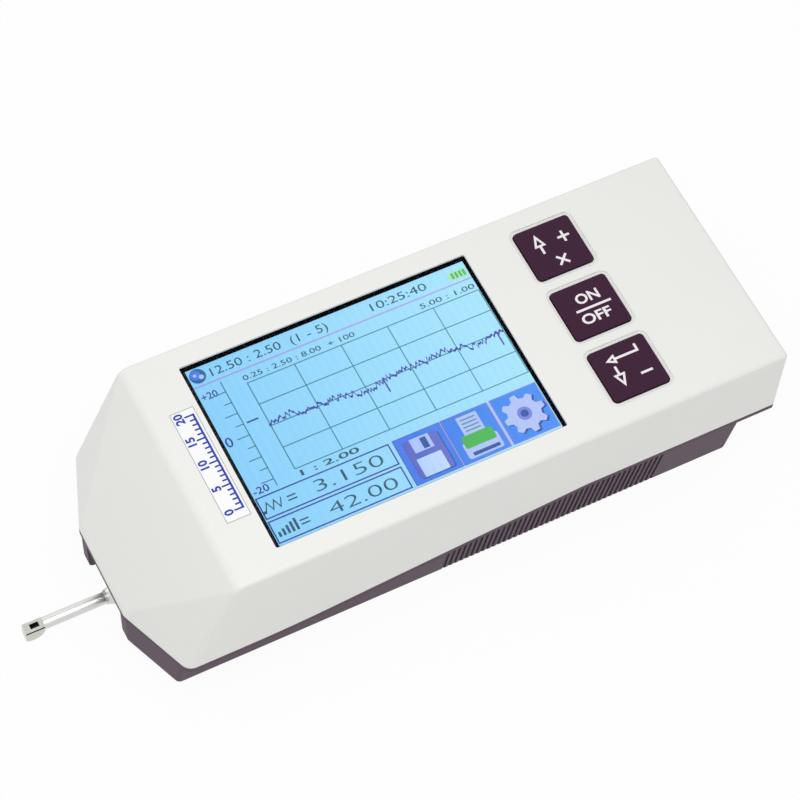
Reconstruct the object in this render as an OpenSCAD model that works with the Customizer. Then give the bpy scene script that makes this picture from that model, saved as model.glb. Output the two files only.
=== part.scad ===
// Handheld surface roughness tester: a white cover on a plum base, with a stylus pickup that a
// motor draws along inside the nose notch. Millimetres, +Z up, nose towards -X.
// The origin is the middle of the flat belly that the tester stands on.

/* [Case] */
// Length of the case from the nose edge to the rear face
case_l = 160.5; // [159:0.1:163]
// Width of the case at its top face
case_w = 62; // [61:0.1:65]
// Height of the case from the belly to the top face
case_h = 48; // [47:0.5:50]
// Thickness of the moulded walls
wall = 2; // [1.8:0.1:2.2]
// Draft of the cover's side walls in degrees, outwards below the top face
side_draft = 0.2; // [0.1:0.1:0.5]
// Draft of the cover's rear wall in degrees, outwards below the top face
rear_draft = 1.9; // [1.5:0.1:2.2]
// Rounding of the cover's outer edges
edge_r = 1; // [0.8:0.1:1.6]
// Rounding of the ridge between the top face and the nose
ridge_r = 3.6; // [3:0.1:4.5]
// Distance of the ridge behind the nose edge
ridge_back = 19.5; // [18.5:0.1:21]
// Distance of the nose's side corners behind the nose edge
tip_back = 7.5; // [6.5:0.1:8.5]
// Width of the nose edge
nose_w = 24.6; // [24.2:0.1:26]

/* [Parting line] */
// Height of the parting line along the nose
part_front_z = 17.5; // [17:0.1:18]
// Height of the parting line along the rear half
part_rear_z = 25.5; // [24.8:0.1:26]
// Distance behind the nose edge where the parting line starts to rise
rise_start = 33; // [30:0.1:40]
// Distance behind the nose edge where the rise ends
rise_end = 109.5; // [104:0.1:114]
// Length of the soft bend at the start of the rise
rise_ease = 10; // [5:0.5:15]

/* [Base] */
// Thickness of the rim under the cover
rim_t = 1.6; // [1.2:0.1:1.8]
// Step of the side walls behind the rim
rim_step = 1.2; // [0.8:0.1:1.6]
// Step of the nose walls behind the rim
nose_step = 0.3; // [0.3:0.1:0.6]
// Draft of the nose walls in degrees
nose_draft = 2.5; // [2:0.1:4]
// Slope of the side walls in degrees
wall_draft = 7.2; // [6.6:0.1:7.6]
// Height of the lower edge of the side walls
foot_z = 3; // [2.6:0.1:3.4]
// Rounding of the lower edges
foot_r = 1.5; // [1.2:0.1:2]
// Step of the rear wall under the cover's overhang
rear_step = 6.5; // [6:0.1:7]
// Length of the flat belly
belly_l = 130; // [120:1:132]
// Step of the flat belly behind the case's sides
belly_side = 6.5; // [6:0.1:8]
// Spacing of the grip ribs
rib_pitch = 1.45; // [1.3:0.05:2]
// Width of the grooves between the grip ribs
rib_groove = 0.75; // [0.5:0.05:0.9]
// Depth of the grooves between the grip ribs
rib_depth = 0.4; // [0.3:0.05:0.7]
// Distance of the first grip rib behind the nose edge
grip_start = 75.4; // [68:0.1:80]
// Length of the ribbed grip
grip_l = 57; // [40:0.5:60]

/* [Nose notch] */
// Width of the notch that the pickup runs in
notch_w = 18.6; // [17:0.1:19]
// Depth of the notch behind the nose edge
notch_d = 22.7; // [21.5:0.1:23.5]
// Thickness of the notch's cheeks
cheek_t = 2.8; // [2.4:0.1:3]
// Thickness of the notch's roof
roof_t = 2; // [1.6:0.1:2.4]

/* [Display] */
// Length of the display opening
display_l = 73.5; // [72:0.1:75]
// Width of the cover beside the display opening
display_side = 5.6; // [5.4:0.1:6.4]
// Distance of the display opening behind the nose edge
display_back = 31.4; // [31:0.1:32.5]
// Thickness of the cover over the window's edge
bezel_t = 0.6; // [0.6:0.1:0.8]
// Overlap of the window behind the opening's edge
window_lap = 2.6; // [2:0.1:2.8]
// Thickness of the touch window
window_t = 1.1; // [0.7:0.1:1.4]
// Thickness of the foam gasket behind the window
gasket_t = 0.4; // [0.3:0.1:0.8]
// Thickness of the display module
module_t = 3.2; // [2.4:0.1:4]

/* [Keys] */
// Length of a key along the case
key_l = 14.6; // [13.5:0.1:15]
// Width of the cover beside the row of keys
key_side = 5.95; // [5.5:0.05:6.5]
// Width of the cover between two keys
key_gap = 4.2; // [4:0.1:4.6]
// Distance of the keys behind the display opening
key_back = 12.7; // [12.5:0.1:13.5]
// Height of the keys above the top face
key_proud = 0.3; // [0.2:0.1:0.5]
// Gap around each key
key_clear = 0.25; // [0.15:0.05:0.3]
// Width of the shallow pocket around each key
pocket_w = 0.8; // [0.6:0.1:1]
// Depth of the shallow pocket around each key
pocket_d = 0.35; // [0.2:0.05:0.5]
// Travel of a key
key_travel = 0.5; // [0.3:0.1:0.5]

/* [Boards] */
// Thickness of the circuit boards
board_t = 1.6; // [1:0.1:2]
// Height of the posts that carry the main board
board_post = 9.4; // [9:0.1:10.5]
// Height of the posts that carry the keypad board
keypad_post = 6; // [5.9:0.1:6.4]
// Height of a key switch's housing
switch_h = 3; // [2.5:0.1:3]

/* [Pickup] */
// Height of the pickup's axis above the belly
pickup_z = 4; // [4:0.1:4.3]
// Diameter of the pickup's nose tube
tube_d = 3; // [2.8:0.1:3.2]
// Reach of the pickup in front of the nose edge
pickup_reach = 19.8; // [18:0.1:21]
// Length of the skid head
head_l = 4.7; // [4.4:0.1:5.4]
// Width of the skid head
head_w = 2.7; // [2.6:0.1:3.2]
// Diameter of the pickup's flange
flange_d = 13; // [12:0.1:13.2]
// Distance of the pickup's flange behind the nose edge
flange_back = 3.4; // [2.6:0.1:3.5]
// Diameter of the pickup's body
pickup_d = 4.4; // [4.3:0.1:4.5]
// Radius of the hollow flare in front of the flange
flare_r = 2.8; // [2:0.1:3]

/* [Drive] */
// Travel of the carriage
traverse = 17.5; // [12:0.5:18]
// Diameter of the guide rods
rod_d = 4; // [3.6:0.1:4.2]
// Distance between the guide rods
rod_span = 22; // [21:0.5:23]
// Height of the guide rods and the lead screw above the belly
drive_z = 13; // [12.8:0.1:14]
// Diameter of the lead screw
screw_d = 3; // [2.6:0.1:3.2]
// Length of the carriage
carriage_l = 22; // [18:0.5:23]
// Diameter of the gear motor
motor_d = 16; // [14:0.5:17]
// Length of the gear motor
motor_l = 32; // [28:0.5:32]

/* [Battery] */
// Length of the battery pack along the case
battery_l = 18; // [14:0.5:18.5]
// Gap between the battery pack and the screw posts beside it
battery_gap = 1.5; // [1:0.1:3]
// Distance of the battery pack in front of the base's rear wall
battery_back = 11.1; // [10:0.1:11.5]
// Height of the battery pack
battery_h = 17; // [12:0.5:20]

/* [Fasteners] */
// Diameter of the case screws
case_screw_d = 2.6; // [2.2:0.1:3]
// Distance of the front case screws behind the nose edge
screw_front = 16.7; // [16.4:0.1:17.2]
// Distance of the rear case screws in front of the rear face
screw_rear = 17.2; // [16.8:0.1:17.6]
// Diameter of the board and frame screws
small_screw_d = 2; // [1.8:0.1:2.2]

/* [Hidden] */

// Round faces, and the coarser facets of the moulded shells
$fn = 64;
shell_fn = 32;
// Overrun of a cut past a face
over = 1;
// Radial clearance of a running fit, of a seated fit and of a screw in its pilot
run_fit = 0.04;
seat_fit = 0.02;
pilot_fit = 0.05;
// Clearance between a moving piece and a fixed one
free_gap = 0.3;

// Case outline
nose_x = -case_l / 2;
rear_x = case_l / 2;
half_w = case_w / 2;
ridge_x = nose_x + ridge_back;
tip_x = nose_x + tip_back;
nose_r = 3;
nose_slope = atan2(case_h - part_front_z, ridge_back);
tip_half = cover_half(part_front_z);
tip_turn = atan2(tip_half - nose_w / 2, tip_back);
ridge_ball_x = ridge_x + ridge_r * tan(nose_slope / 2);
tip_ball_x = tip_x + nose_r * tan(tip_turn / 2);
nose_ball_y = nose_w / 2 - nose_r * tan(45 - tip_turn / 2);
ceiling_z = case_h - wall;
shell_low_z = foot_z;
core_r = 0.6;

// Base walls
belly_r = 3;
base_top_z = part_rear_z + 2;
base_rear_x = rear_x - rear_step;
cut_rear_x = cover_rear(0) + over;
rim_half = cover_half(part_rear_z);
belly_w = case_w - 2 * belly_side;
base_floor_t = wall;
channel_floor = 0.9;
channel_w = 15;
notch_back_x = nose_x + notch_d;
bulkhead_x = notch_back_x + wall;

// Display stack
display_x = nose_x + display_back + display_l / 2;
display_w = case_w - 2 * display_side;
window_top_z = case_h - bezel_t;
window_low_z = window_top_z - window_t;
gasket_low_z = window_low_z - gasket_t;
module_low_z = gasket_low_z - module_t;
window_gap = 0.15;
window_corner_r = 1.5;
opening_corner_r = 0.5;
module_corner_r = 1;
gasket_in = 0.3;
back_rim = 3;
back_pan = 0.6;
module_lap = 2;

// Keys, from the top down
key_x = nose_x + display_back + display_l + key_back + key_l / 2;
key_w = (case_w - 2 * key_side - 2 * key_gap) / 3;
key_pitch = key_w + key_gap;
key_ys = [key_pitch, 0, -key_pitch];
key_corner_r = 1;
flange_lip = 1.15;
flange_t = 1;
flange_top_z = ceiling_z - 0.2;
flange_low_z = flange_top_z - flange_t;
keypad_top_z = ceiling_z - keypad_post;
switch_top_z = keypad_top_z + switch_h;
switch_w = 6;
stem_low_z = switch_top_z + key_travel + 0.1;
stem_r = 2.2;
plunger_r = 1.7;
plunger_fit = 0.1;
plunger_low_z = switch_top_z - 1.1;

// Boards and their posts
post_r = 1.9;
board_top_z = ceiling_z - board_post;
board_low_z = board_top_z - board_t;
keypad_low_z = keypad_top_z - board_t;
module_front_x = display_x - display_l / 2 - module_lap;
module_rear_x = display_x + display_l / 2 + module_lap;
main_post_xs = [module_front_x - post_r - 0.8, module_rear_x + post_r + 0.8];
board_side = 2;
board_w = case_w - 2 * (wall + board_side);
main_post_y = board_w / 2 - 5;
board_front_x = main_post_xs[0] - post_r;
board_rear_x = main_post_xs[1] + post_r;
flange_half_l = key_l / 2 + flange_lip;
keypad_post_xs = [key_x - flange_half_l - post_r - 0.6, key_x + flange_half_l + post_r + 0.6];
keypad_post_y = board_w / 4 - 0.5;
keypad_front_x = keypad_post_xs[0] - post_r;
keypad_mid_x = keypad_post_xs[1] + post_r;
keypad_w = board_w + 1;
keypad_tail_w = 30;
keypad_rear_x = rear_x - wall - 1.2;
small_head_r = small_screw_d;
small_head_t = 1.4;
small_pilot_l = 5;
small_hole_r = small_screw_d / 2 + 0.15;

// Data socket in the cover's rear wall
usb_l = 9;
usb_w = 7.7;
usb_h = 3.9;
usb_wall = 0.4;
usb_gap = 0.3;
usb_front_x = rear_x - 0.8;

// Case screws and their posts
screw_post_r = 4;
cover_boss_r = 3.5;
case_screw_xs = [nose_x + screw_front, rear_x - screw_rear];
screw_side = 9;
nose_screw_side = 11;
case_screw_ys = [half_w - nose_screw_side, half_w - screw_side];
case_screw_tops = [part_front_z, part_rear_z];
screw_grip = 6;
screw_bite = 8;
case_hole_r = case_screw_d / 2 + 0.15;
front_boss_x = case_screw_xs[0] - cover_boss_r - nose_x;
cover_boss_tops = [part_front_z + front_boss_x * tan(nose_slope) - wall / 2, ceiling_z + wall / 2];
case_head_r = case_screw_d * 0.9;
case_head_t = 2;
head_gap = 0.3;

// Pickup, from the head back to its plug
head_front_x = nose_x - pickup_reach;
head_rear_x = head_front_x + head_l;
tube_r = tube_d / 2;
tube_bore_r = tube_r - 0.4;
flange_front_x = nose_x + flange_back;
flange_t_x = 1.2;
flange_flat_z = 0.6;
flare_in_r = tube_r + 0.3;
flange_rear_x = flange_front_x + flange_t_x;
pickup_r = pickup_d / 2;
pickup_air = 0.5;
pickup_hole_r = pickup_r + pickup_air;
pickup_skin = 0.6;
pickup_bore_r = pickup_r - pickup_skin;
bore_in = 3;
bore_front_x = flange_rear_x + bore_in;
sensor_bore_l = 18;
bore_rear_x = bore_front_x + sensor_bore_l;
pickup_tail = 7;
pickup_rear_x = bulkhead_x + pickup_tail;
plug_r = 1.5;
plug_l = 6;
plug_air = 1;
pivot_in = 6;
pivot_x = bore_front_x + pivot_in;
pivot_r = 0.5;
hub_r = 0.9;
hub_w = 2;
lever_r = 0.35;
armature_r = 0.8;
armature_l = 4;
armature_in = 4;
armature_x = pivot_x + armature_in;
skid_low_z = 0.5;
tip_low_z = 0.45;
head_up = 0.95;
head_top_z = pickup_z + head_up;
head_down = 1.2;
head_low_z = pickup_z - head_down;
skid_r = 3;
skid_in = 1.8;
skid_x = head_front_x + skid_in;
lever_air = 0.35;
lever_hole_r = lever_r + lever_air;
slot_w = 1.3;
slot_l = 2.2;
slot_back = 1;
stylus_x = head_rear_x - slot_back - slot_l / 2;
tip_r = 0.35;
tip_l = 0.8;

// Drive unit, from the bulkhead back to the motor
plate_t = 2.5;
plate_w = 34;
plate_low_z = 4;
plate_over = 5;
plate_top_z = drive_z + plate_over;
plate_gap = 1;
front_plate_x = bulkhead_x + plate_gap;
front_plate_rear_x = front_plate_x + plate_t;
carriage_gap = 2;
carriage_x = pickup_rear_x + carriage_gap;
carriage_end_x = carriage_x + carriage_l;
socket_l = 10;
socket_r = 2.4;
stop_gap = 5;
rear_plate_x = carriage_end_x + traverse + stop_gap;
rear_plate_end_x = rear_plate_x + plate_t;
rail_w = 4;
rail_t = 3;
rod_r = rod_d / 2;
rod_y = rod_span / 2;
bush_wall = 1;
bush_r = rod_r + bush_wall;
bearing_wall = 1.5;
bearing_r = screw_d / 2 + bearing_wall;
nut_wall = 2;
nut_r = screw_d / 2 + nut_wall;
wing_wall = 0.6;
wing_low_z = drive_z - bush_r - wing_wall;
wing_top_z = drive_z + bush_r + wing_wall;
wing_side = 0.8;
wing_w = rod_span + 2 * (bush_r + wing_side);
carriage_low_z = channel_floor + free_gap;
carriage_keel_w = 12;
frame_screw_in = 6;
frame_screw_xs = [front_plate_rear_x + frame_screw_in, rear_plate_x - frame_screw_in];
frame_screw_y = plate_w / 2 - rail_w / 2;
frame_screw_short = 0.4;
frame_screw_l = plate_low_z + rail_t - channel_floor - frame_screw_short;
screw_in = 0.5;
screw_out = 4;
screw_end_x = rear_plate_end_x + screw_out;
coupling_gap = 0.6;
coupling_x = rear_plate_end_x + coupling_gap;
coupling_l = 6.8;
coupling_r = 3.5;
motor_shaft_r = 1.25;
motor_x = coupling_x + coupling_l + coupling_gap;
motor_shaft_in = 4;
gearbox_l = 12;
can_step = 0.3;
can_cap_l = 1.5;
can_r = motor_d / 2 - can_step;
cradle_in = 2;
cradle_out = 4;
cradle_l = motor_l - cradle_in - cradle_out;
cradle_side = 1;
cradle_w = motor_d + 2 * cradle_side;
cradle_drop = 4;
cradle_top_z = drive_z - cradle_drop;
battery_x = base_rear_x - battery_back - battery_l;
battery_w = 2 * (case_screw_ys[1] - screw_post_r - battery_gap);

// Half width of the cover's side walls at a height
function cover_half(z) = half_w + (case_h - z) * tan(side_draft);

// Place of the cover's rear wall at a height
function cover_rear(z) = rear_x + (case_h - z) * tan(rear_draft);

// Half width of the base's side walls at a height
function base_half(z) = rim_half - rim_step - (part_rear_z - z) * tan(wall_draft);

// Place of the base's nose wall at a height
function base_nose(z) = nose_x + nose_step + (part_front_z - z) * tan(nose_draft);

// Place of the base's front corners at a height
function base_tip(z) = base_nose(z) + (base_half(z) - nose_w / 2) / tan(tip_turn);

// Point of the soft bend that starts the rise, a parabola tangent to both straights
function ease_point(t) =
    let (rise = (part_rear_z - part_front_z) / (rise_end - rise_start))
    [nose_x + rise_start + rise_ease * (2 * t - 1), part_front_z + rise_ease * rise * t * t];

// Side profile of the parting line, lowered by drop
function part_line(drop) = [
    for (p = concat(
        [[nose_x - over, part_front_z]],
        [for (i = [0 : 8]) ease_point(i / 8)],
        [[nose_x + rise_end, part_rear_z], [cut_rear_x, part_rear_z]]
    )) [p[0], p[1] - drop]
];

// Everything below the parting line lowered by drop
module below_part(drop) {
    rotate([90, 0, 0])
        linear_extrude(height = case_w + 4 * over, center = true)
            polygon(concat(part_line(drop), [[cut_rear_x, -over], [nose_x - over, -over]]));
}

// Plate with round corners, centred on its place
module round_plate(l, w, h, r) {
    linear_extrude(height = h) {
        square([l - 2 * r, w], center = true);
        square([l, w - 2 * r], center = true);
        for (sx = [-1, 1], sy = [-1, 1])
            translate([sx * (l / 2 - r), sy * (w / 2 - r)])
                circle(r = r);
    }
}

// Box between two heights, centred across the case
module cross_box(x0, x1, w, z0, z1) {
    translate([x0, -w / 2, z0])
        cube([x1 - x0, w, z1 - z0]);
}

// Rod along the case
module x_rod(x0, x1, r, y, z) {
    translate([x0, y, z])
        rotate([0, 90, 0])
            cylinder(h = x1 - x0, r = r);
}

// Ball of a moulded shell's corner
module shell_ball(x, y, z, r) {
    translate([x, y, z])
        sphere(r = r, $fn = shell_fn);
}

// Rounded end of the ridge between the top face and the nose
module ridge_end(y, r, inset) {
    translate([ridge_ball_x, y, case_h - ridge_r])
        rotate([90, 0, 0])
            rotate_extrude($fn = shell_fn)
                translate([ridge_r - inset - r, 0])
                    circle(r = r, $fn = shell_fn);
}

// Outer form of the cover, drawn in by inset on every face
module cover_form(inset) {
    r = max(edge_r - inset, core_r);
    back = inset + r;
    hull()
        for (side = [-1, 1]) {
            ridge_end(side * (half_w - back), r, inset);
            for (z = [case_h - back, shell_low_z])
                shell_ball(cover_rear(z) - back, side * (cover_half(z) - back), z, r);
            for (z = [part_front_z, shell_low_z]) {
                shell_ball(tip_ball_x, side * (cover_half(z) - nose_r), z, nose_r - inset);
                shell_ball(nose_x + nose_r, side * nose_ball_y, z, nose_r - inset);
            }
        }
}

// Outer form of the base below the rim, drawn in by inset on every face
module base_form(inset) {
    back = foot_r + inset;
    hull()
        for (side = [-1, 1]) {
            for (z = [foot_z + back, base_top_z]) {
                shell_ball(base_rear_x - back, side * (base_half(z) - back), z, foot_r);
                shell_ball(base_tip(z) + back * tan(tip_turn / 2), side * (base_half(z) - back), z, foot_r);
                shell_ball(
                    base_nose(z) + back, side * (nose_w / 2 - back * tan(45 - tip_turn / 2)), z, foot_r
                );
            }
            for (end = [-1, 1])
                translate([
                    end * (belly_l / 2 - belly_r - inset), side * (belly_w / 2 - belly_r - inset), inset
                ])
                    cylinder(h = over, r = belly_r, $fn = shell_fn);
        }
}

// The four corners of the case screws, as place and parting height
module at_case_screws() {
    for (i = [0, 1], side = [-1, 1])
        translate([case_screw_xs[i], side * case_screw_ys[i], case_screw_tops[i]])
            children();
}

// The four corners of the main board's posts
module at_main_posts() {
    for (x = main_post_xs, side = [-1, 1])
        translate([x, side * main_post_y, 0])
            children();
}

// The four corners of the keypad board's posts
module at_keypad_posts() {
    for (x = keypad_post_xs, side = [-1, 1])
        translate([x, side * keypad_post_y, 0])
            children();
}

// The four fixing points of the drive frame
module at_frame_screws() {
    for (x = frame_screw_xs, side = [-1, 1])
        translate([x, side * frame_screw_y, 0])
            children();
}

// White upper half of the case, with the display and key openings
module top_cover() {
    color("whitesmoke")
        difference() {
            union() {
                difference() {
                    cover_form(0);
                    cover_form(wall);
                }
                for (i = [0, 1], side = [-1, 1])
                    translate([case_screw_xs[i], side * case_screw_ys[i], case_screw_tops[i]])
                        cylinder(h = cover_boss_tops[i] - case_screw_tops[i], r = cover_boss_r);
                at_main_posts()
                    translate([0, 0, board_top_z])
                        cylinder(h = board_post + wall / 2, r = post_r);
                at_keypad_posts()
                    translate([0, 0, keypad_top_z])
                        cylinder(h = keypad_post + wall / 2, r = post_r);
            }
            below_part(0);
            translate([display_x, 0, ceiling_z - over])
                round_plate(display_l, display_w, wall + 2 * over, opening_corner_r);
            translate([display_x, 0, ceiling_z - over])
                round_plate(
                    display_l + 2 * window_lap,
                    display_w + 2 * window_lap,
                    over + wall - bezel_t,
                    window_corner_r
                );
            for (y = key_ys) {
                translate([key_x, y, ceiling_z - over])
                    round_plate(
                        key_l + 2 * key_clear,
                        key_w + 2 * key_clear,
                        wall + 2 * over,
                        key_corner_r + key_clear
                    );
                translate([key_x, y, case_h - pocket_d])
                    round_plate(
                        key_l + 2 * (key_clear + pocket_w),
                        key_w + 2 * (key_clear + pocket_w),
                        pocket_d + over,
                        key_corner_r + key_clear + pocket_w
                    );
            }
            translate([rear_x - wall - over, -usb_w / 2 - usb_gap, keypad_top_z - usb_gap])
                cube([wall + 2 * over, usb_w + 2 * usb_gap, usb_h + 2 * usb_gap]);
            at_case_screws()
                translate([0, 0, -over])
                    cylinder(h = screw_bite + over + 1, r = case_screw_d / 2 + pilot_fit);
            at_main_posts()
                translate([0, 0, board_top_z - over])
                    cylinder(h = small_pilot_l + over, r = small_screw_d / 2 + pilot_fit);
            at_keypad_posts()
                translate([0, 0, keypad_top_z - over])
                    cylinder(h = small_pilot_l + over, r = small_screw_d / 2 + pilot_fit);
        }
}

// Grooves between the grip ribs of both side walls
module grip_grooves() {
    intersection() {
        for (side = [0, 1])
            mirror([0, side, 0])
                translate([0, -base_half(part_rear_z), part_rear_z])
                    rotate([wall_draft, 0, 0])
                        translate([0, 0, -part_rear_z])
                            linear_extrude(height = part_rear_z)
                                for (x = [grip_start : rib_pitch : grip_start + grip_l])
                                    translate([nose_x + x, -over])
                                        square([rib_groove, over + rib_depth]);
        below_part(rim_t);
    }
}

// Plum lower half of the case, with the pickup's notch, the rim and the grip ribs
module bottom_cover() {
    color("#4d3d4a")
        difference() {
            union() {
                difference() {
                    union() {
                        intersection() {
                            cover_form(0);
                            difference() {
                                below_part(0);
                                below_part(rim_t);
                            }
                        }
                        intersection() {
                            base_form(0);
                            below_part(rim_t / 2);
                        }
                    }
                    difference() {
                        base_form(base_floor_t);
                        cross_box(
                            nose_x - over, bulkhead_x, notch_w + 2 * cheek_t, -over, part_front_z + over
                        );
                    }
                    cross_box(nose_x - over, notch_back_x, notch_w, -over, part_front_z - roof_t);
                    cross_box(bulkhead_x - over / 2, rear_plate_x, channel_w, channel_floor, wall + over);
                    grip_grooves();
                }
                for (i = [0, 1], side = [-1, 1])
                    translate([case_screw_xs[i], side * case_screw_ys[i], wall])
                        cylinder(h = case_screw_tops[i] - wall, r = screw_post_r);
                at_frame_screws()
                    translate([0, 0, wall / 2])
                        cylinder(h = plate_low_z - wall / 2, r = rail_w / 2);
            }
            x_rod(notch_back_x - over, bulkhead_x + over, pickup_hole_r, 0, pickup_z);
            cross_box(
                notch_back_x - over, bulkhead_x + over, 2 * pickup_hole_r, channel_floor, pickup_z
            );
            at_case_screws() {
                translate([0, 0, -part_rear_z - over])
                    cylinder(h = part_rear_z + over - screw_grip, r = case_head_r + head_gap);
                translate([0, 0, -screw_grip - over])
                    cylinder(h = screw_grip + 2 * over, r = case_hole_r);
            }
            at_frame_screws()
                translate([0, 0, channel_floor])
                    cylinder(h = plate_low_z, r = small_screw_d / 2 + pilot_fit);
        }
}

// Clear touch window behind the display opening
module display_window() {
    color("lightcyan", 0.5)
        translate([display_x, 0, window_low_z])
            round_plate(
                display_l + 2 * (window_lap - window_gap),
                display_w + 2 * (window_lap - window_gap),
                window_t,
                window_corner_r - window_gap
            );
}

// Foam frame between the window and the display module
module display_gasket() {
    color("dimgray")
        translate([display_x, 0, gasket_low_z])
            difference() {
                round_plate(
                    display_l + 2 * module_lap, display_w + 2 * module_lap, gasket_t, module_corner_r
                );
                translate([0, 0, -over])
                    round_plate(
                        display_l + 2 * gasket_in, display_w + 2 * gasket_in,
                        gasket_t + 2 * over, opening_corner_r
                    );
            }
}

// Liquid crystal display in its bezel frame
module display_module() {
    color("#8fcdf0")
        translate([display_x, 0, module_low_z])
            difference() {
                round_plate(
                    display_l + 2 * module_lap, display_w + 2 * module_lap, module_t, module_corner_r
                );
                translate([0, 0, -over])
                    round_plate(
                        display_l - 2 * back_rim, display_w - 2 * back_rim,
                        over + back_pan, module_corner_r
                    );
            }
}

// Square key cap with its hidden flange and stem
module key_cap(y) {
    color("#42263a")
        translate([key_x, y, 0]) {
            translate([0, 0, flange_top_z])
                round_plate(key_l, key_w, case_h + key_proud - flange_top_z, key_corner_r);
            translate([0, 0, flange_low_z])
                round_plate(key_l + 2 * flange_lip, key_w + 2 * flange_lip, flange_t, key_corner_r);
            translate([0, 0, stem_low_z])
                cylinder(h = flange_low_z - stem_low_z, r = stem_r);
        }
}

// Plunger of a key switch, which its key's stem bears on
module switch_plunger(y) {
    color("ivory")
        translate([key_x, y, plunger_low_z])
            cylinder(h = stem_low_z - plunger_low_z, r = plunger_r);
}

module key_up() {
    key_cap(key_ys[0]);
}

module key_power() {
    key_cap(key_ys[1]);
}

module key_enter() {
    key_cap(key_ys[2]);
}

module plunger_up() {
    switch_plunger(key_ys[0]);
}

module plunger_power() {
    switch_plunger(key_ys[1]);
}

module plunger_enter() {
    switch_plunger(key_ys[2]);
}

// Switch housings under the keys, each with a well for its plunger
module key_switches() {
    color("black")
        for (y = key_ys)
            translate([key_x, y, keypad_top_z])
                difference() {
                    round_plate(switch_w, switch_w, switch_h, 0.5);
                    translate([0, 0, plunger_low_z - keypad_top_z - key_travel - 0.1])
                        cylinder(h = switch_h, r = plunger_r + plunger_fit);
                }
}

// Circuit board under the keys, with a tail that carries the data socket
module keypad_board() {
    color("darkgreen")
        difference() {
            union() {
                cross_box(keypad_front_x, keypad_mid_x, keypad_w, keypad_low_z, keypad_top_z);
                cross_box(keypad_mid_x - over, keypad_rear_x, keypad_tail_w, keypad_low_z, keypad_top_z);
            }
            at_keypad_posts()
                translate([0, 0, keypad_low_z - over])
                    cylinder(h = board_t + 2 * over, r = small_hole_r);
        }
}

// Main circuit board under the display
module main_board() {
    color("darkgreen")
        difference() {
            cross_box(board_front_x, board_rear_x, board_w, board_low_z, board_top_z);
            at_main_posts()
                translate([0, 0, board_low_z - over])
                    cylinder(h = board_t + 2 * over, r = small_hole_r);
        }
}

// Processor, memory and converter on the underside of the main board
module board_chips() {
    chip_w = board_w / 4;
    chip_sizes = [[chip_w, chip_w], [0.7 * chip_w, chip_w / 2], [chip_w / 2, chip_w / 2]];
    chip_places = [[-chip_w, chip_w / 2], [chip_w / 2, -0.7 * chip_w], [1.6 * chip_w, 0.6 * chip_w]];
    color("#222222")
        for (i = [0 : len(chip_sizes) - 1])
            translate([display_x + chip_places[i][0], chip_places[i][1], board_low_z - board_t])
                round_plate(chip_sizes[i][0], chip_sizes[i][1], board_t, 0.4);
}

// Pan head screw, head down, with a cross recess
module up_screw(d, l, head_r, head_t) {
    difference() {
        union() {
            cylinder(h = l, r = d / 2);
            translate([0, 0, -head_t])
                cylinder(h = head_t, r = head_r);
        }
        for (a = [0, 90])
            rotate([0, 0, a])
                translate([-head_r * 0.6, -d / 8, -head_t - over])
                    cube([head_r * 1.2, d / 4, over + head_t / 2]);
    }
}

// Screws that hold the two boards to the cover's posts
module board_screws() {
    color("silver") {
        at_main_posts()
            translate([0, 0, board_low_z])
                up_screw(small_screw_d, board_t + small_pilot_l - 0.5, small_head_r, small_head_t);
        at_keypad_posts()
            translate([0, 0, keypad_low_z])
                up_screw(small_screw_d, board_t + small_pilot_l - 0.5, small_head_r, small_head_t);
    }
}

// Data and charging socket at the end of the keypad board
module usb_socket() {
    color("silver")
        translate([usb_front_x - usb_l, -usb_w / 2, keypad_top_z]) {
            difference() {
                cube([usb_l, usb_w, usb_h]);
                translate([1, usb_wall, usb_wall])
                    cube([usb_l, usb_w - 2 * usb_wall, usb_h - 2 * usb_wall]);
            }
            translate([0.5, usb_w / 4, usb_h / 2 - 0.4])
                cube([usb_l - 1.5, usb_w / 2, 0.8]);
        }
}

// Rechargeable battery pack on the floor of the base
module battery() {
    color("royalblue")
        translate([battery_x + battery_l / 2, 0, wall])
            round_plate(battery_l, battery_w, battery_h, 2);
}

// Frame of the traverse: two end plates on two rails
module drive_frame() {
    color("lightgray")
        difference() {
            union() {
                for (x = [front_plate_x, rear_plate_x])
                    cross_box(x, x + plate_t, plate_w, plate_low_z, plate_top_z);
                for (side = [-1, 1])
                    translate([front_plate_x, side * frame_screw_y - rail_w / 2, plate_low_z])
                        cube([rear_plate_end_x - front_plate_x, rail_w, rail_t]);
            }
            for (side = [-1, 1])
                x_rod(
                    front_plate_x - over, rear_plate_end_x + over, rod_r + seat_fit, side * rod_y, drive_z
                );
            x_rod(front_plate_x - over, rear_plate_end_x + over, bearing_r + seat_fit, 0, drive_z);
            x_rod(front_plate_x - over, front_plate_rear_x + over, pickup_hole_r, 0, pickup_z);
            cross_box(
                front_plate_x - over, front_plate_rear_x + over, 2 * pickup_hole_r,
                plate_low_z - over, pickup_z
            );
            at_frame_screws()
                translate([0, 0, plate_low_z - over])
                    cylinder(h = rail_t + 2 * over, r = small_hole_r);
        }
}

// Screws that hold the drive frame to the base
module drive_screws() {
    color("silver")
        at_frame_screws()
            translate([0, 0, plate_low_z + rail_t])
                mirror([0, 0, 1])
                    up_screw(small_screw_d, frame_screw_l, rail_w / 2 - 0.2, small_head_t);
}

// Two ground rods that the carriage slides on
module guide_rods() {
    color("gainsboro")
        for (side = [-1, 1])
            x_rod(front_plate_x, rear_plate_end_x, rod_r, side * rod_y, drive_z);
}

// Lead screw between the end plates, driven from its rear end
module lead_screw() {
    color("lightsteelblue")
        x_rod(front_plate_x + screw_in, screw_end_x, screw_d / 2, 0, drive_z);
}

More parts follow.
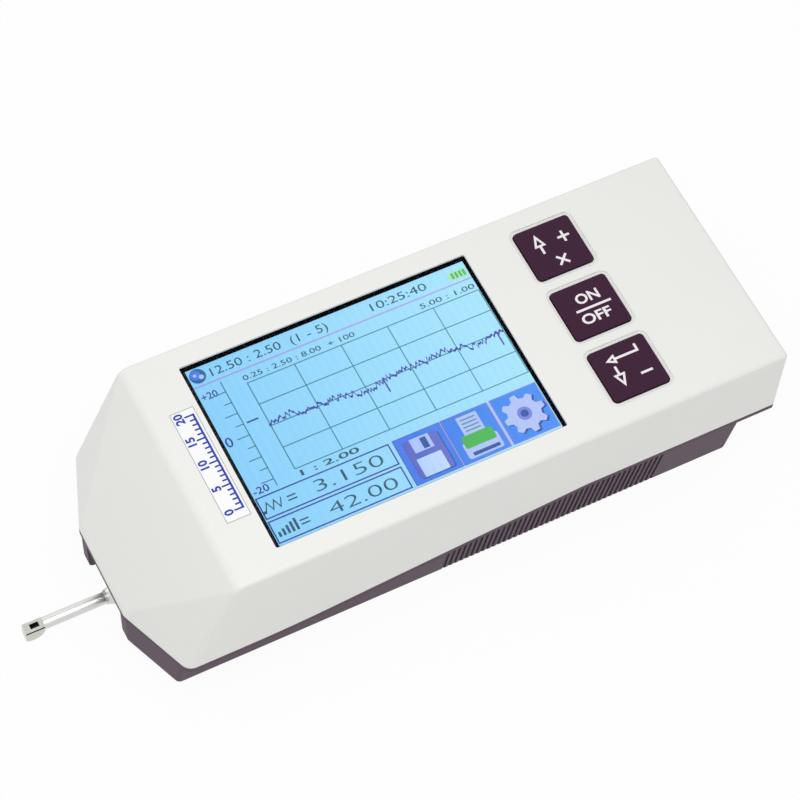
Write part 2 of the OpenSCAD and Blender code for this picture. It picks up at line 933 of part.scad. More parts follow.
// Plain bearings of the lead screw in the two end plates
module screw_bearings() {
    color("goldenrod")
        for (x = [front_plate_x, rear_plate_x])
            difference() {
                x_rod(x, x + plate_t, bearing_r, 0, drive_z);
                x_rod(x - over, x + plate_t + over, screw_d / 2 + run_fit, 0, drive_z);
            }
}

// Coupling between the lead screw and the motor's shaft
module shaft_coupling() {
    color("silver")
        difference() {
            x_rod(coupling_x, coupling_x + coupling_l, coupling_r, 0, drive_z);
            x_rod(coupling_x - over, screw_end_x, screw_d / 2 + seat_fit, 0, drive_z);
            x_rod(screw_end_x - 0.1, coupling_x + coupling_l + over, motor_shaft_r + seat_fit, 0, drive_z);
        }
}

// Output shaft of the gear motor
module motor_shaft() {
    color("gainsboro")
        x_rod(screw_end_x, motor_x + motor_shaft_in, motor_shaft_r, 0, drive_z);
}

// Gear motor in line with the lead screw
module gear_motor() {
    color("darkgray")
        difference() {
            union() {
                x_rod(motor_x, motor_x + gearbox_l, motor_d / 2, 0, drive_z);
                x_rod(motor_x + gearbox_l, motor_x + motor_l, can_r, 0, drive_z);
                x_rod(motor_x + motor_l, motor_x + motor_l + can_cap_l, motor_d / 6, 0, drive_z);
            }
            x_rod(motor_x - over, motor_x + motor_shaft_in + 0.5, motor_shaft_r + run_fit, 0, drive_z);
        }
}

// Saddle on the base's floor that holds the gear motor
module motor_cradle() {
    color("slategray")
        difference() {
            cross_box(motor_x + cradle_in, motor_x + cradle_in + cradle_l, cradle_w, wall, cradle_top_z);
            x_rod(motor_x, motor_x + motor_l, motor_d / 2 + seat_fit, 0, drive_z);
        }
}

// Carriage on the rods, with a keel that reaches down to the pickup's socket
module carriage() {
    color("lightslategray")
        difference() {
            union() {
                cross_box(carriage_x, carriage_end_x, wing_w, wing_low_z, wing_top_z);
                cross_box(carriage_x, carriage_end_x, carriage_keel_w, carriage_low_z, wing_low_z + over);
            }
            for (side = [-1, 1])
                x_rod(carriage_x - over, carriage_end_x + over, bush_r + seat_fit, side * rod_y, drive_z);
            x_rod(carriage_x - over, carriage_end_x + over, nut_r + seat_fit, 0, drive_z);
            x_rod(carriage_x - over, pickup_rear_x + socket_l, socket_r + seat_fit, 0, pickup_z);
        }
}

// Sintered bushes that run on the rods
module rod_bushes() {
    color("goldenrod")
        for (side = [-1, 1])
            difference() {
                x_rod(carriage_x, carriage_end_x, bush_r, side * rod_y, drive_z);
                x_rod(carriage_x - over, carriage_end_x + over, rod_r + run_fit, side * rod_y, drive_z);
            }
}

// Nut that the lead screw turns in
module drive_nut() {
    color("goldenrod")
        difference() {
            x_rod(carriage_x, carriage_end_x, nut_r, 0, drive_z);
            x_rod(carriage_x - over, carriage_end_x + over, screw_d / 2 + run_fit, 0, drive_z);
        }
}

// Socket in the carriage that the pickup plugs into
module pickup_socket() {
    color("#333333")
        difference() {
            x_rod(pickup_rear_x, pickup_rear_x + socket_l, socket_r, 0, pickup_z);
            x_rod(pickup_rear_x - over, pickup_rear_x + plug_l + plug_air, plug_r + seat_fit, 0, pickup_z);
        }
}

// Half profile of the pickup's body: flare, flange, barrel and plug
module pickup_profile() {
    difference() {
        translate([0, flange_front_x - flare_r])
            square([flange_d / 2, flare_r + flange_t_x]);
        translate([flare_in_r + flare_r, flange_front_x - flare_r])
            circle(r = flare_r);
        translate([flare_in_r + flare_r, flange_front_x - flare_r - over])
            square([flange_d, flare_r + over]);
    }
    translate([0, flange_rear_x])
        square([pickup_r, pickup_rear_x - flange_rear_x]);
    translate([0, pickup_rear_x])
        square([plug_r, plug_l]);
}

// Turned body of the pickup, with a flat under its flange
module pickup_body() {
    color("silver")
        difference() {
            translate([0, 0, pickup_z])
                rotate([0, 90, 0])
                    rotate_extrude()
                        pickup_profile();
            cross_box(flange_front_x - flare_r - over, bore_front_x, flange_d, -flange_d, flange_flat_z);
            x_rod(flange_front_x - flare_r - over, bore_front_x + over, tube_r + seat_fit, 0, pickup_z);
            x_rod(bore_front_x, bore_rear_x, pickup_bore_r, 0, pickup_z);
            translate([pivot_x, 0, pickup_z])
                rotate([90, 0, 0])
                    cylinder(h = pickup_d, r = pivot_r + seat_fit, center = true);
        }
}

// Thin tube that carries the skid head in front of the case
module pickup_tube() {
    color("silver")
        difference() {
            x_rod(head_rear_x, bore_front_x, tube_r, 0, pickup_z);
            x_rod(head_rear_x - over, bore_front_x + over, tube_bore_r, 0, pickup_z);
        }
}

// Block head with the skid under it and the stylus slot through it
module skid_head() {
    color("silver")
        difference() {
            rotate([90, 0, 0])
                linear_extrude(height = head_w, center = true) {
                    translate([head_front_x, head_low_z])
                        square([head_l, head_top_z - head_low_z]);
                    intersection() {
                        translate([skid_x, skid_low_z + skid_r])
                            circle(r = skid_r);
                        translate([head_front_x, 0])
                            square([head_l, head_top_z - over]);
                    }
                }
            cross_box(stylus_x - slot_l / 2, stylus_x + slot_l / 2, slot_w, -over, head_top_z + over);
            x_rod(stylus_x, head_rear_x + over, lever_hole_r, 0, pickup_z);
        }
}

// Pin that the stylus lever rocks on
module pivot_pin() {
    color("gainsboro")
        translate([pivot_x, 0, pickup_z])
            rotate([90, 0, 0])
                cylinder(h = pickup_d - 0.4, r = pivot_r, center = true);
}

// Coil that senses the lever's rear end
module sensor_coil() {
    color("peru")
        difference() {
            x_rod(armature_x, armature_x + armature_l, pickup_bore_r - seat_fit, 0, pickup_z);
            x_rod(armature_x - over, armature_x + armature_l + over, armature_r + free_gap, 0, pickup_z);
        }
}

// Lever from the sensor coil through the tube to the stylus
module stylus_lever() {
    color("gold")
        difference() {
            union() {
                x_rod(stylus_x - 0.5, armature_x + armature_l, lever_r, 0, pickup_z);
                x_rod(armature_x, armature_x + armature_l, armature_r, 0, pickup_z);
                translate([pivot_x, 0, pickup_z])
                    rotate([90, 0, 0])
                        cylinder(h = hub_w, r = hub_r, center = true);
                translate([stylus_x, 0, tip_low_z + tip_l])
                    cylinder(h = pickup_z - tip_low_z - tip_l, r = tip_r);
            }
            translate([pivot_x, 0, pickup_z])
                rotate([90, 0, 0])
                    cylinder(h = hub_w + 2 * over, r = pivot_r + run_fit, center = true);
        }
}

// Diamond cone that touches the surface
module stylus_tip() {
    color("lightskyblue")
        translate([stylus_x, 0, tip_low_z])
            cylinder(h = tip_l, r1 = 0.1, r2 = tip_r);
}

// Screws that hold the base to the cover
module case_screws() {
    color("dimgray")
        at_case_screws()
            translate([0, 0, -screw_grip])
                up_screw(case_screw_d, screw_grip + screw_bite, case_head_r, case_head_t);
}

top_cover();
bottom_cover();
display_window();
display_gasket();
display_module();
key_up();
key_power();
key_enter();
plunger_up();
plunger_power();
plunger_enter();
key_switches();
keypad_board();
main_board();
board_chips();
board_screws();
usb_socket();
battery();
drive_frame();
drive_screws();
guide_rods();
lead_screw();
screw_bearings();
shaft_coupling();
motor_shaft();
gear_motor();
motor_cradle();
carriage();
rod_bushes();
drive_nut();
pickup_socket();
pickup_body();
pickup_tube();
skid_head();
pivot_pin();
sensor_coil();
stylus_lever();
stylus_tip();
case_screws();
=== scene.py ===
"""Studio scene of a handheld surface roughness tester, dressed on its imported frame."""

import logging
import math
import random
from dataclasses import dataclass, field
from enum import Enum
from typing import Callable, Iterable, Optional

import bmesh
import bpy
from bpy.types import Material, Node, NodeSocket, NodeTree, Object
from mathutils import Matrix, Vector


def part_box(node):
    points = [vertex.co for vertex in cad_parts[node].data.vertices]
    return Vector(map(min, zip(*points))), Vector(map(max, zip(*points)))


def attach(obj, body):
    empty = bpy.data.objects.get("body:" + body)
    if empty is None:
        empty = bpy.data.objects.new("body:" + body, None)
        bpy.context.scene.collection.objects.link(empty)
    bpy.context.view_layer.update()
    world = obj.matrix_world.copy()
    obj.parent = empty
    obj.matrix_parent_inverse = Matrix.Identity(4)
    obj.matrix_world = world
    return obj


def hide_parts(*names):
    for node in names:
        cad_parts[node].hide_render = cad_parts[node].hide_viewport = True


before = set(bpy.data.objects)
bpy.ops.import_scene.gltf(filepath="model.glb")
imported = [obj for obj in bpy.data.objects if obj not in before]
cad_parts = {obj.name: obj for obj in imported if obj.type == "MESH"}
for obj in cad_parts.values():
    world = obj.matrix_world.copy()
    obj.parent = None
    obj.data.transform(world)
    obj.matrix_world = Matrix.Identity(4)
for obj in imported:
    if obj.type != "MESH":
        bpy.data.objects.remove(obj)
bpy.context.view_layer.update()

LOG = logging.getLogger("roughness_tester")
# The photograph's frame in pixels and the sensor width that the lens is given for
IMAGE_PX = 800
SENSOR_MM = 36.0
# The model is in metres, places are written in millimetres and grain in micrometres
M_PER_MM = 0.001
M_PER_UM = 1e-6
# Thickness of printed ink and of one layer of the display picture
INK_MM = 0.02
LAYER_MM = 0.03
# Air under print, which keeps its underside off the face that carries it
PRINT_GAP_MM = 0.005
# Height of a capital as a share of the font's size
CAP_SHARE = 0.73
# Steps of a rounded plate corner
CORNER_STEPS = 4
# The smoothest that any finish gets
LEAST_ROUGHNESS = 0.02
# Colour inputs and colour output of a mixing node
MIX_FROM, MIX_TO, MIXED = 6, 7, 2
BLACK = (0.0, 0.0, 0.0, 1.0)
WHITE = (1.0, 1.0, 1.0, 1.0)


class Body(str, Enum):
    """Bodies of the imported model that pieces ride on."""

    CASE = "case"
    UP_KEY = "up_key"
    POWER_KEY = "power_key"
    ENTER_KEY = "enter_key"
    TRAVERSE = "traverse"


class Anchor(str, Enum):
    """Side of a line of lettering that its place gives."""

    LEFT = "LEFT"
    CENTRE = "CENTER"
    RIGHT = "RIGHT"


def mm(value: float) -> float:
    """Metres of a length in millimetres."""
    return value * M_PER_MM


def in_mm(value: float) -> float:
    """Millimetres of a length in metres."""
    return value / M_PER_MM


def linear(code: str) -> tuple[float, float, float, float]:
    """Linear red, green and blue of an sRGB hex code, with an alpha of 1."""
    parts = [int(code[i:i + 2], 16) / 255 for i in (1, 3, 5)]
    red, green, blue = (
        c / 12.92 if c <= 0.04045 else ((c + 0.055) / 1.055) ** 2.4 for c in parts
    )
    return red, green, blue, 1.0


def add_node(
    tree: NodeTree,
    kind: str,
    values: Optional[dict] = None,
    links: Optional[dict] = None,
    **settings: object,
) -> Node:
    """Adds a shader node with its settings, values and incoming links.

    Args:
        tree: Node tree that gets the node.
        kind: Blender's type name of the node.
        values: Input name or index to its value.
        links: Input name or index to the output socket that feeds it.
        **settings: Attributes of the node itself.

    Returns:
        The new node.
    """
    node = tree.nodes.new(kind)
    for key, value in settings.items():
        setattr(node, key, value)
    for key, value in (values or {}).items():
        node.inputs[key].default_value = value
    for key, socket in (links or {}).items():
        tree.links.new(socket, node.inputs[key])
    return node


def fresh_tree(owner: bpy.types.ID) -> NodeTree:
    """The emptied node tree of a new material or world."""
    owner.use_nodes = True
    owner.node_tree.nodes.clear()
    return owner.node_tree


@dataclass(frozen=True)
class Finish:
    """Surface of a real material, with a slow colour drift and a fine grain.

    Attributes:
        name: Common name of the material and how its surface was made.
        colour: Main colour as sRGB hex.
        tint: Colour that the drift reaches.
        roughness: Mean roughness.
        metallic: 1 for bare metal.
        ior: Index of refraction, kept at the default for metals.
        gloss: Specular level, where 0.5 is that of the plain index of refraction.
        drift_mm: Size of the colour drift.
        grain_mm: Size of the surface grain.
        grain_um: Height of the grain in micrometres.
        swing: How far the roughness strays from its mean.
        stretch: How much finer the grain runs along each axis.
    """

    name: str
    colour: str
    tint: str
    roughness: float
    metallic: float = 0.0
    ior: float = 1.5
    gloss: float = 0.5
    drift_mm: float = 25.0
    grain_mm: float = 0.6
    grain_um: float = 3.0
    swing: float = 0.05
    stretch: tuple[float, float, float] = (1.0, 1.0, 1.0)

    def material(self) -> Material:
        """The material of this finish, made on its first use."""
        found = bpy.data.materials.get(self.name)
        return found if found is not None else self.build()

    def blank(self) -> tuple[NodeTree, NodeSocket]:
        """The empty node tree of a new material and its object coordinates."""
        made = bpy.data.materials.new(self.name)
        made.diffuse_color = linear(self.colour)
        tree = fresh_tree(made)
        return tree, add_node(tree, "ShaderNodeTexCoord").outputs["Object"]

    def blend(self, tree: NodeTree, factor: NodeSocket) -> NodeSocket:
        """Colour that runs from the main colour to the tint by a factor."""
        ends = {MIX_FROM: linear(self.colour), MIX_TO: linear(self.tint)}
        return add_node(tree, "ShaderNodeMix", ends, {0: factor}, data_type="RGBA").outputs[MIXED]

    def close(self, tree: NodeTree, values: dict, links: dict) -> Material:
        """Ends a node tree with its surface, given its constants and the sockets that feed it."""
        shader = add_node(tree, "ShaderNodeBsdfPrincipled", values, links)
        add_node(tree, "ShaderNodeOutputMaterial", links={"Surface": shader.outputs[0]})
        return bpy.data.materials[self.name]

    def build(self) -> Material:
        """Builds the nodes: drift of colour, swing of roughness and grain as bump."""
        tree, place = self.blank()
        drift = add_node(
            tree, "ShaderNodeTexNoise", {"Scale": 1 / mm(self.drift_mm), "Detail": 2.0},
            {"Vector": place},
        )
        laid = add_node(tree, "ShaderNodeMapping", {"Scale": self.stretch}, {"Vector": place})
        grain = add_node(
            tree, "ShaderNodeTexNoise", {"Scale": 1 / mm(self.grain_mm), "Detail": 3.0},
            {"Vector": laid.outputs[0]},
        )
        least = max(LEAST_ROUGHNESS, self.roughness - self.swing)
        most = min(1.0, self.roughness + self.swing)
        rough = add_node(
            tree, "ShaderNodeMapRange", {"To Min": least, "To Max": most},
            {"Value": grain.outputs["Fac"]},
        )
        bump = add_node(
            tree, "ShaderNodeBump", {"Strength": 1.0, "Distance": self.grain_um * M_PER_UM},
            {"Height": grain.outputs["Fac"]},
        )
        return self.close(
            tree,
            {"Metallic": self.metallic, "IOR": self.ior, "Specular IOR Level": self.gloss},
            {
                "Base Color": self.blend(tree, drift.outputs["Fac"]),
                "Roughness": rough.outputs[0], "Normal": bump.outputs[0],
            },
        )


@dataclass(frozen=True)
class LitPixels(Finish):
    """Backlit display picture, which gives its own light through a fine raster.

    Attributes:
        strength: Brightness of the backlight, where 1 shows the colour as written.
        dim: Share of that brightness between the lines of the raster.
        raster: Scale of the raster's wave.
        start_mm: Place along the case where the main colour is pure.
        end_mm: Place along the case where the tint is pure.
    """

    roughness: float = 0.3
    strength: float = 1.0
    dim: float = 0.97
    raster: float = 500 / 3
    start_mm: float = -48.0
    end_mm: float = 24.0

    def build(self) -> Material:
        """Builds the nodes: a run of colour along the panel and a raster that dims the light."""
        tree, place = self.blank()
        along = add_node(tree, "ShaderNodeSeparateXYZ", links={"Vector": place})
        run = add_node(
            tree, "ShaderNodeMapRange",
            {"From Min": mm(self.start_mm), "From Max": mm(self.end_mm)},
            {"Value": along.outputs["X"]},
        )
        wave = add_node(
            tree, "ShaderNodeTexWave", {"Scale": self.raster, "Distortion": 0.0},
            {"Vector": place}, bands_direction="X",
        )
        light = add_node(
            tree, "ShaderNodeMapRange",
            {"To Min": self.strength * self.dim, "To Max": self.strength},
            {"Value": wave.outputs["Fac"]},
        )
        return self.close(
            tree,
            {"Base Color": BLACK, "Roughness": self.roughness},
            {
                "Emission Color": self.blend(tree, run.outputs[0]),
                "Emission Strength": light.outputs[0],
            },
        )


@dataclass(frozen=True)
class ClearPane(Finish):
    """Clear sheet that light passes through."""

    def build(self) -> Material:
        """Builds the nodes: full transmission with a faint unevenness of the surface."""
        tree, place = self.blank()
        grain = add_node(
            tree, "ShaderNodeTexNoise", {"Scale": 1 / mm(self.grain_mm)}, {"Vector": place}
        )
        rough = add_node(
            tree, "ShaderNodeMapRange", {"To Min": 0.0, "To Max": self.roughness},
            {"Value": grain.outputs["Fac"]},
        )
        return self.close(
            tree,
            {
                "Base Color": linear(self.colour), "IOR": self.ior, "Transmission Weight": 1.0,
                "Specular IOR Level": self.gloss,
            },
            {"Roughness": rough.outputs[0]},
        )


# White ABS, moulded in a finely eroded tool: an even satin that scatters the studio light
WHITE_ABS = Finish("white_abs_fine_moulded", "#EFEFEC", "#ECECE9", 0.42, ior=1.53, grain_mm=0.5)
# Plum ABS of the base, moulded in a coarser grain: a dull violet brown with a weak, broad gloss
PLUM_ABS = Finish(
    "plum_abs_fine_moulded", "#5B4857", "#534050", 0.55, ior=1.53, gloss=0.18, grain_mm=0.5,
    grain_um=5.0,
)
# Dark plum key caps: satin moulded ABS, nearly black in the shade
KEY_ABS = Finish(
    "dark_plum_abs_satin_keys", "#3F1F37", "#3A1B32", 0.45, ior=1.53, gloss=0.12, grain_mm=0.5,
    grain_um=2.0,
)
# Cover glass of the touch panel with a coat that kills reflections: all but unseen
TOUCH_GLASS = ClearPane(
    "touch_panel_coated_glass", "#FDFEFF", "#FDFEFF", 0.02, ior=1.12, grain_mm=4.0
)
# Closed cell foam of the display gasket: dull, with fine pores
FOAM = Finish(
    "closed_cell_foam_black", "#0B0D0F", "#101316", 0.95, gloss=0.1, grain_mm=0.3, grain_um=4.0
)
# Black glass edge of the liquid crystal panel: deep black with a faint shine
PANEL_BLACK = Finish(
    "display_panel_black_glass", "#070C0F", "#0A1215", 0.25, gloss=0.1, grain_mm=2.0, grain_um=0.5
)
# Natural nylon of the switch plungers: ivory and waxy
NYLON = Finish("natural_nylon_moulded", "#E2DDCB", "#D9D3BF", 0.5, ior=1.53)
# Black glass filled plastic of switches, chips, the socket and the motor saddle: dull and rough
BLACK_PLASTIC = Finish(
    "black_filled_plastic_moulded", "#1A1A1C", "#242427", 0.55, ior=1.55, grain_um=6.0
)
# Glass epoxy board under green solder mask: a smooth coat with the weave faintly under it
LAMINATE = Finish(
    "glass_epoxy_solder_mask", "#1D5B38", "#17492D", 0.35, ior=1.55, drift_mm=3.0, grain_mm=1.2
)
# Zinc plated steel of the screws and the data socket's shell: a cool, slightly cloudy shine
ZINC = Finish(
    "zinc_plated_steel", "#B9BCC0", "#A9ACB2", 0.34, metallic=1.0, drift_mm=2.0, grain_mm=0.3,
    grain_um=2.0,
)
# Shrink wrap of the battery pack: glossy blue with soft waves
WRAP = Finish(
    "blue_shrink_wrap", "#23489C", "#1D3D88", 0.28, drift_mm=12.0, grain_mm=6.0, grain_um=25.0
)
# Milled aluminium of the drive frame and the carriage: cutter lines along the case
MILLED = Finish(
    "milled_aluminium", "#C6C8CA", "#B7BABD", 0.36, metallic=1.0, grain_mm=0.4, grain_um=4.0,
    stretch=(0.06, 1.0, 1.0),
)
# Ground steel of rods, shafts and pins: fine lines round the axis
GROUND = Finish(
    "ground_steel", "#C9CBCD", "#BDBFC2", 0.22, metallic=1.0, grain_mm=0.25, grain_um=1.5,
    stretch=(1.0, 0.08, 0.08),
)
# Sintered bronze of bushes, bearings and the nut: dull and porous
BRONZE = Finish(
    "sintered_bronze", "#A9824B", "#946F3D", 0.45, metallic=1.0, drift_mm=1.5, grain_mm=0.3,
    grain_um=6.0,
)
# Drawn steel can of the gear motor: grey, with draw lines along its length
CAN = Finish(
    "drawn_steel_can", "#A4A7AB", "#989BA0", 0.32, metallic=1.0, grain_mm=0.5,
    stretch=(0.08, 1.0, 1.0),
)
# Polished stainless steel of the pickup, turned: bright, with faint rings round its axis
POLISHED = Finish(
    "polished_stainless_turned", "#DCDCDA", "#CFD0CE", 0.32, metallic=1.0, drift_mm=6.0,
    grain_mm=0.3, grain_um=1.0, swing=0.04, stretch=(1.0, 0.1, 0.1),
)
# Hardened tool steel of the skid head, lapped: bright and a little green grey
HARDENED = Finish(
    "hardened_tool_steel_lapped", "#D2D2CA", "#BEBEB5", 0.26, metallic=1.0, drift_mm=1.5,
    grain_mm=0.2, grain_um=1.0, swing=0.06,
)
# Painted shade for the skid head's slot and a painted dark reflection along its sides: dull and
# nearly lightless black
PAINTED_DARK = Finish(
    "painted_shade_and_reflection_black", "#0D0D0E", "#161617", 0.7, gloss=0.2, drift_mm=1.0, grain_mm=0.1,
    grain_um=1.0,
)
# Blued spring steel of the stylus lever: dark with a faint blue sheen
BLUED = Finish(
    "blued_spring_steel", "#1D1F25", "#272A31", 0.4, metallic=1.0, drift_mm=2.0, grain_mm=0.2
)
# Enamelled copper winding of the sensing coil: warm and ringed by its turns
COPPER = Finish(
    "enamelled_copper_winding", "#B8693A", "#9E5529", 0.3, metallic=1.0, grain_mm=0.15,
    grain_um=20.0, stretch=(1.0, 0.05, 0.05),
)
# Ground diamond of the stylus: clear with a strong sparkle
DIAMOND = ClearPane("ground_diamond", "#EAF3FF", "#EAF3FF", 0.05, ior=2.4, grain_mm=0.2)
# White silk screen ink of the key signs: dense and a little warm
WHITE_INK = Finish(
    "white_screen_ink", "#F4F0F2", "#ECE8EB", 0.5, grain_mm=0.4, grain_um=2.0, drift_mm=2.0
)
# Gloss paper of the label: whiter and smoother than the cover
LABEL_PAPER = Finish(
    "gloss_label_paper", "#FAFBFA", "#F5F7FA", 0.3, grain_mm=0.8, grain_um=2.0, drift_mm=8.0
)
# Blue print of the label: strong and slightly uneven
BLUE_INK = Finish(
    "blue_label_ink", "#2433A6", "#2E40BA", 0.4, gloss=0.3, grain_mm=0.4, grain_um=2.0,
    drift_mm=2.0,
)
# Grey line of the label's cut edge: thin and dull
GREY_INK = Finish(
    "grey_label_ink", "#A3A6A8", "#96999C", 0.5, gloss=0.3, grain_mm=0.4, grain_um=2.0,
    drift_mm=2.0,
)

# Lit colours of the display picture, each a little paler towards the keys
SKY = LitPixels("lit_pale_blue_field", "#84CDF9", "#A6E4FC")
LIT_LINE = LitPixels("lit_teal_lines", "#2F6F84", "#4A8FA2")
LIT_NAVY = LitPixels("lit_navy_signs", "#2B3A93", "#3D49A5")
LIT_TRACE = LitPixels("lit_violet_trace", "#35379F", "#4A46AC")
LIT_INK = LitPixels("lit_dark_lettering", "#1F4C66", "#356078")
LIT_VIOLET = LitPixels("lit_violet_line", "#9C92DA", "#AFA2E4")
LIT_TILE = LitPixels("lit_blue_tile", "#3A78E6", "#428FF4", start_mm=-13.0)
LIT_SOFT = LitPixels("lit_soft_violet_sign", "#5561C2", "#7A8CE2", start_mm=-13.0)
LIT_PALE = LitPixels("lit_pale_sign", "#A9C2F7", "#B4C3F5", start_mm=-13.0)
LIT_WHITE = LitPixels("lit_white_sign", "#A9CDFB", "#C2DAFD", start_mm=-13.0, end_mm=-3.0)
LIT_GREEN = LitPixels("lit_green_sign", "#33A93D", "#4BB955")
LIT_MINT = LitPixels("lit_mint_sign", "#9BDDB4", "#A9E6BD")
LIT_DEEP = LitPixels("lit_deep_blue_sign", "#15609F", "#2A4FA8")

# CAD nodes of each finish
FINISH_NODES: dict[Finish, tuple[str, ...]] = {
    WHITE_ABS: ("top_cover",),
    PLUM_ABS: ("bottom_cover",),
    TOUCH_GLASS: ("display_window",),
    FOAM: ("display_gasket",),
    PANEL_BLACK: ("display_module",),
    KEY_ABS: ("key_up", "key_power", "key_enter"),
    NYLON: ("plunger_up", "plunger_power", "plunger_enter"),
    BLACK_PLASTIC: ("key_switches", "board_chips", "motor_cradle", "pickup_socket"),
    LAMINATE: ("keypad_board", "main_board"),
    ZINC: ("board_screws", "drive_screws", "case_screws", "usb_socket"),
    WRAP: ("battery",),
    MILLED: ("drive_frame", "carriage"),
    GROUND: ("guide_rods", "lead_screw", "shaft_coupling", "motor_shaft", "pivot_pin"),
    BRONZE: ("screw_bearings", "rod_bushes", "drive_nut"),
    CAN: ("gear_motor",),
    POLISHED: ("pickup_body", "pickup_tube"),
    HARDENED: ("skid_head",),
    BLUED: ("stylus_lever",),
    COPPER: ("sensor_coil",),
    DIAMOND: ("stylus_tip",),
}


@dataclass(frozen=True)
class Face:
    """Flat side of a part that print and picture are laid on.

    Attributes:
        origin: Place in metres that drawn places are counted from.
        body: Body that the side belongs to.
    """

    origin: Vector
    body: Body

    @classmethod
    def above(cls, node: str, body: Body, shift: tuple[float, float] = (0.0, 0.0)) -> "Face":
        """Upper side of a CAD node, whose origin lies off the middle by a shift in millimetres."""
        low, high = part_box(node)
        middle = (Vector(low) + Vector(high)) / 2
        return cls(Vector((middle.x + mm(shift[0]), middle.y + mm(shift[1]), high[2])), body)


def clear_bench() -> None:
    """Leaves edit mode and deselects everything, so that operators act on new work only."""
    if bpy.context.object is not None and bpy.context.object.mode != "OBJECT":
        bpy.ops.object.mode_set(mode="OBJECT")
    bpy.ops.object.select_all(action="DESELECT")


def settle() -> Object:
    """Puts the active object's place into its mesh and returns it."""
    bpy.ops.object.transform_apply(location=True, rotation=True, scale=True)
    return bpy.context.object


def lay(made: Object, x: float, y: float, z: float, turn: float) -> Object:
    """Turns a drawn shape to the left by degrees and lays it at a place in millimetres."""
    made.rotation_euler = (0, 0, math.radians(turn))
    made.location = (mm(x), mm(y), mm(z))
    return settle()


def select_all() -> None:
    """Selects the whole mesh in edit mode."""
    bpy.ops.mesh.select_all(action="SELECT")


def select_verts(test: Callable[[bmesh.types.BMVert], bool]) -> None:
    """Selects the vertices of the mesh in edit mode that pass a test."""
    shape = bmesh.from_edit_mesh(bpy.context.object.data)
    bpy.ops.mesh.select_all(action="DESELECT")
    for vert in shape.verts:
        vert.select = test(vert)
    shape.select_flush(True)
    bmesh.update_edit_mesh(bpy.context.object.data)


def extrude(x: float, y: float, z: float) -> None:
    """Extrudes what is selected in edit mode by millimetres along each axis."""
    move = (mm(x), mm(y), mm(z))
    bpy.ops.mesh.extrude_region_move(TRANSFORM_OT_translate={"value": move})


def apply_modifier(made: Object, kind: str, **settings: object) -> None:
    """Adds a modifier to the active object, sets its attributes and applies it."""
    bpy.ops.object.modifier_add(type=kind)
    for key, value in settings.items():
        setattr(made.modifiers[-1], key, value)
    bpy.ops.object.modifier_apply(modifier=made.modifiers[-1].name)


def sheet(x0: float, y0: float, x1: float, y1: float, z: float) -> Object:
    """A flat rectangle between two corners in millimetres, left in edit mode."""
    clear_bench()
    middle = (mm(x0 + x1) / 2, mm(y0 + y1) / 2, mm(z))
    bpy.ops.mesh.primitive_plane_add(size=1, location=middle)
    bpy.context.object.scale = (mm(x1 - x0), mm(y1 - y0), 1)
    made = settle()
    bpy.ops.object.mode_set(mode="EDIT")
    return made


def round_sheet(x: float, y: float, z: float, radius: float, sides: int) -> Object:
    """A flat disc round a middle in millimetres, left in edit mode."""
    clear_bench()
    bpy.ops.mesh.primitive_circle_add(
        vertices=sides, radius=mm(radius), fill_type="NGON", location=(mm(x), mm(y), mm(z))
    )
    made = settle()
    bpy.ops.object.mode_set(mode="EDIT")
    return made


def raise_plate(thickness: float) -> None:
    """Raises the flat mesh in edit mode into a closed plate with a thickness in millimetres."""
    select_all()
    extrude(0, 0, thickness)
    select_all()
    bpy.ops.mesh.normals_make_consistent(inside=False)
    bpy.ops.object.mode_set(mode="OBJECT")


def plate(
    x0: float, y0: float, x1: float, y1: float, z: float, corner: float = 0.0,
    thickness: float = INK_MM,
) -> Object:
    """A thin plate between two corners.

    Args:
        x0, y0: Left and near side in millimetres.
        x1, y1: Right and far side.
        z: Height of its underside.
        corner: Rounding of its corners.
        thickness: Thickness of the plate.

    Returns:
        The new object.
    """
    made = sheet(x0, y0, x1, y1, z)
    if corner > 0:
        select_all()
        bpy.ops.mesh.bevel(offset=mm(corner), segments=CORNER_STEPS, affect="VERTICES")
    raise_plate(thickness)
    return made


def fence(
    sides: tuple[float, float, float, float], z: float, tall: float, thick: float,
    gap: Callable[[Vector], bool],
) -> Object:
    """Thin upright walls over the sides of a rectangle.

    Args:
        sides: Left, near, right and far side in millimetres.
        z: Height of the walls' feet.
        tall: Height of the walls.
        thick: Thickness of the walls.
        gap: Says by its middle whether a side is left open.

    Returns:
        The new object.
    """
    made = sheet(*sides, z)
    bpy.ops.mesh.select_mode(type="EDGE")
    select_all()
    bpy.ops.mesh.delete(type="ONLY_FACE")
    bpy.ops.mesh.select_all(action="DESELECT")
    shape = bmesh.from_edit_mesh(made.data)
    for edge in shape.edges:
        edge.select = gap((edge.verts[0].co + edge.verts[1].co) / 2)
    bmesh.update_edit_mesh(made.data)
    bpy.ops.mesh.delete(type="EDGE")
    select_all()
    extrude(0, 0, tall)
    bpy.ops.object.mode_set(mode="OBJECT")
    apply_modifier(made, "SOLIDIFY", thickness=mm(thick), offset=0.0)
    return made


def disc(x: float, y: float, z: float, radius: float, sides: int = 32) -> Object:
    """A thin round plate round a middle in millimetres, with its underside at z."""
    made = round_sheet(x, y, z, radius, sides)
    raise_plate(INK_MM)
    return made


def stroke(x0: float, y0: float, x1: float, y1: float, width: float, z: float) -> Object:
    """A straight printed line between two places in millimetres, with its underside at z."""
    long = math.hypot(x1 - x0, y1 - y0)
    made = plate(-long / 2, -width / 2, long / 2, width / 2, 0.0)
    turn = math.degrees(math.atan2(y1 - y0, x1 - x0))
    return lay(made, (x0 + x1) / 2, (y0 + y1) / 2, z, turn)


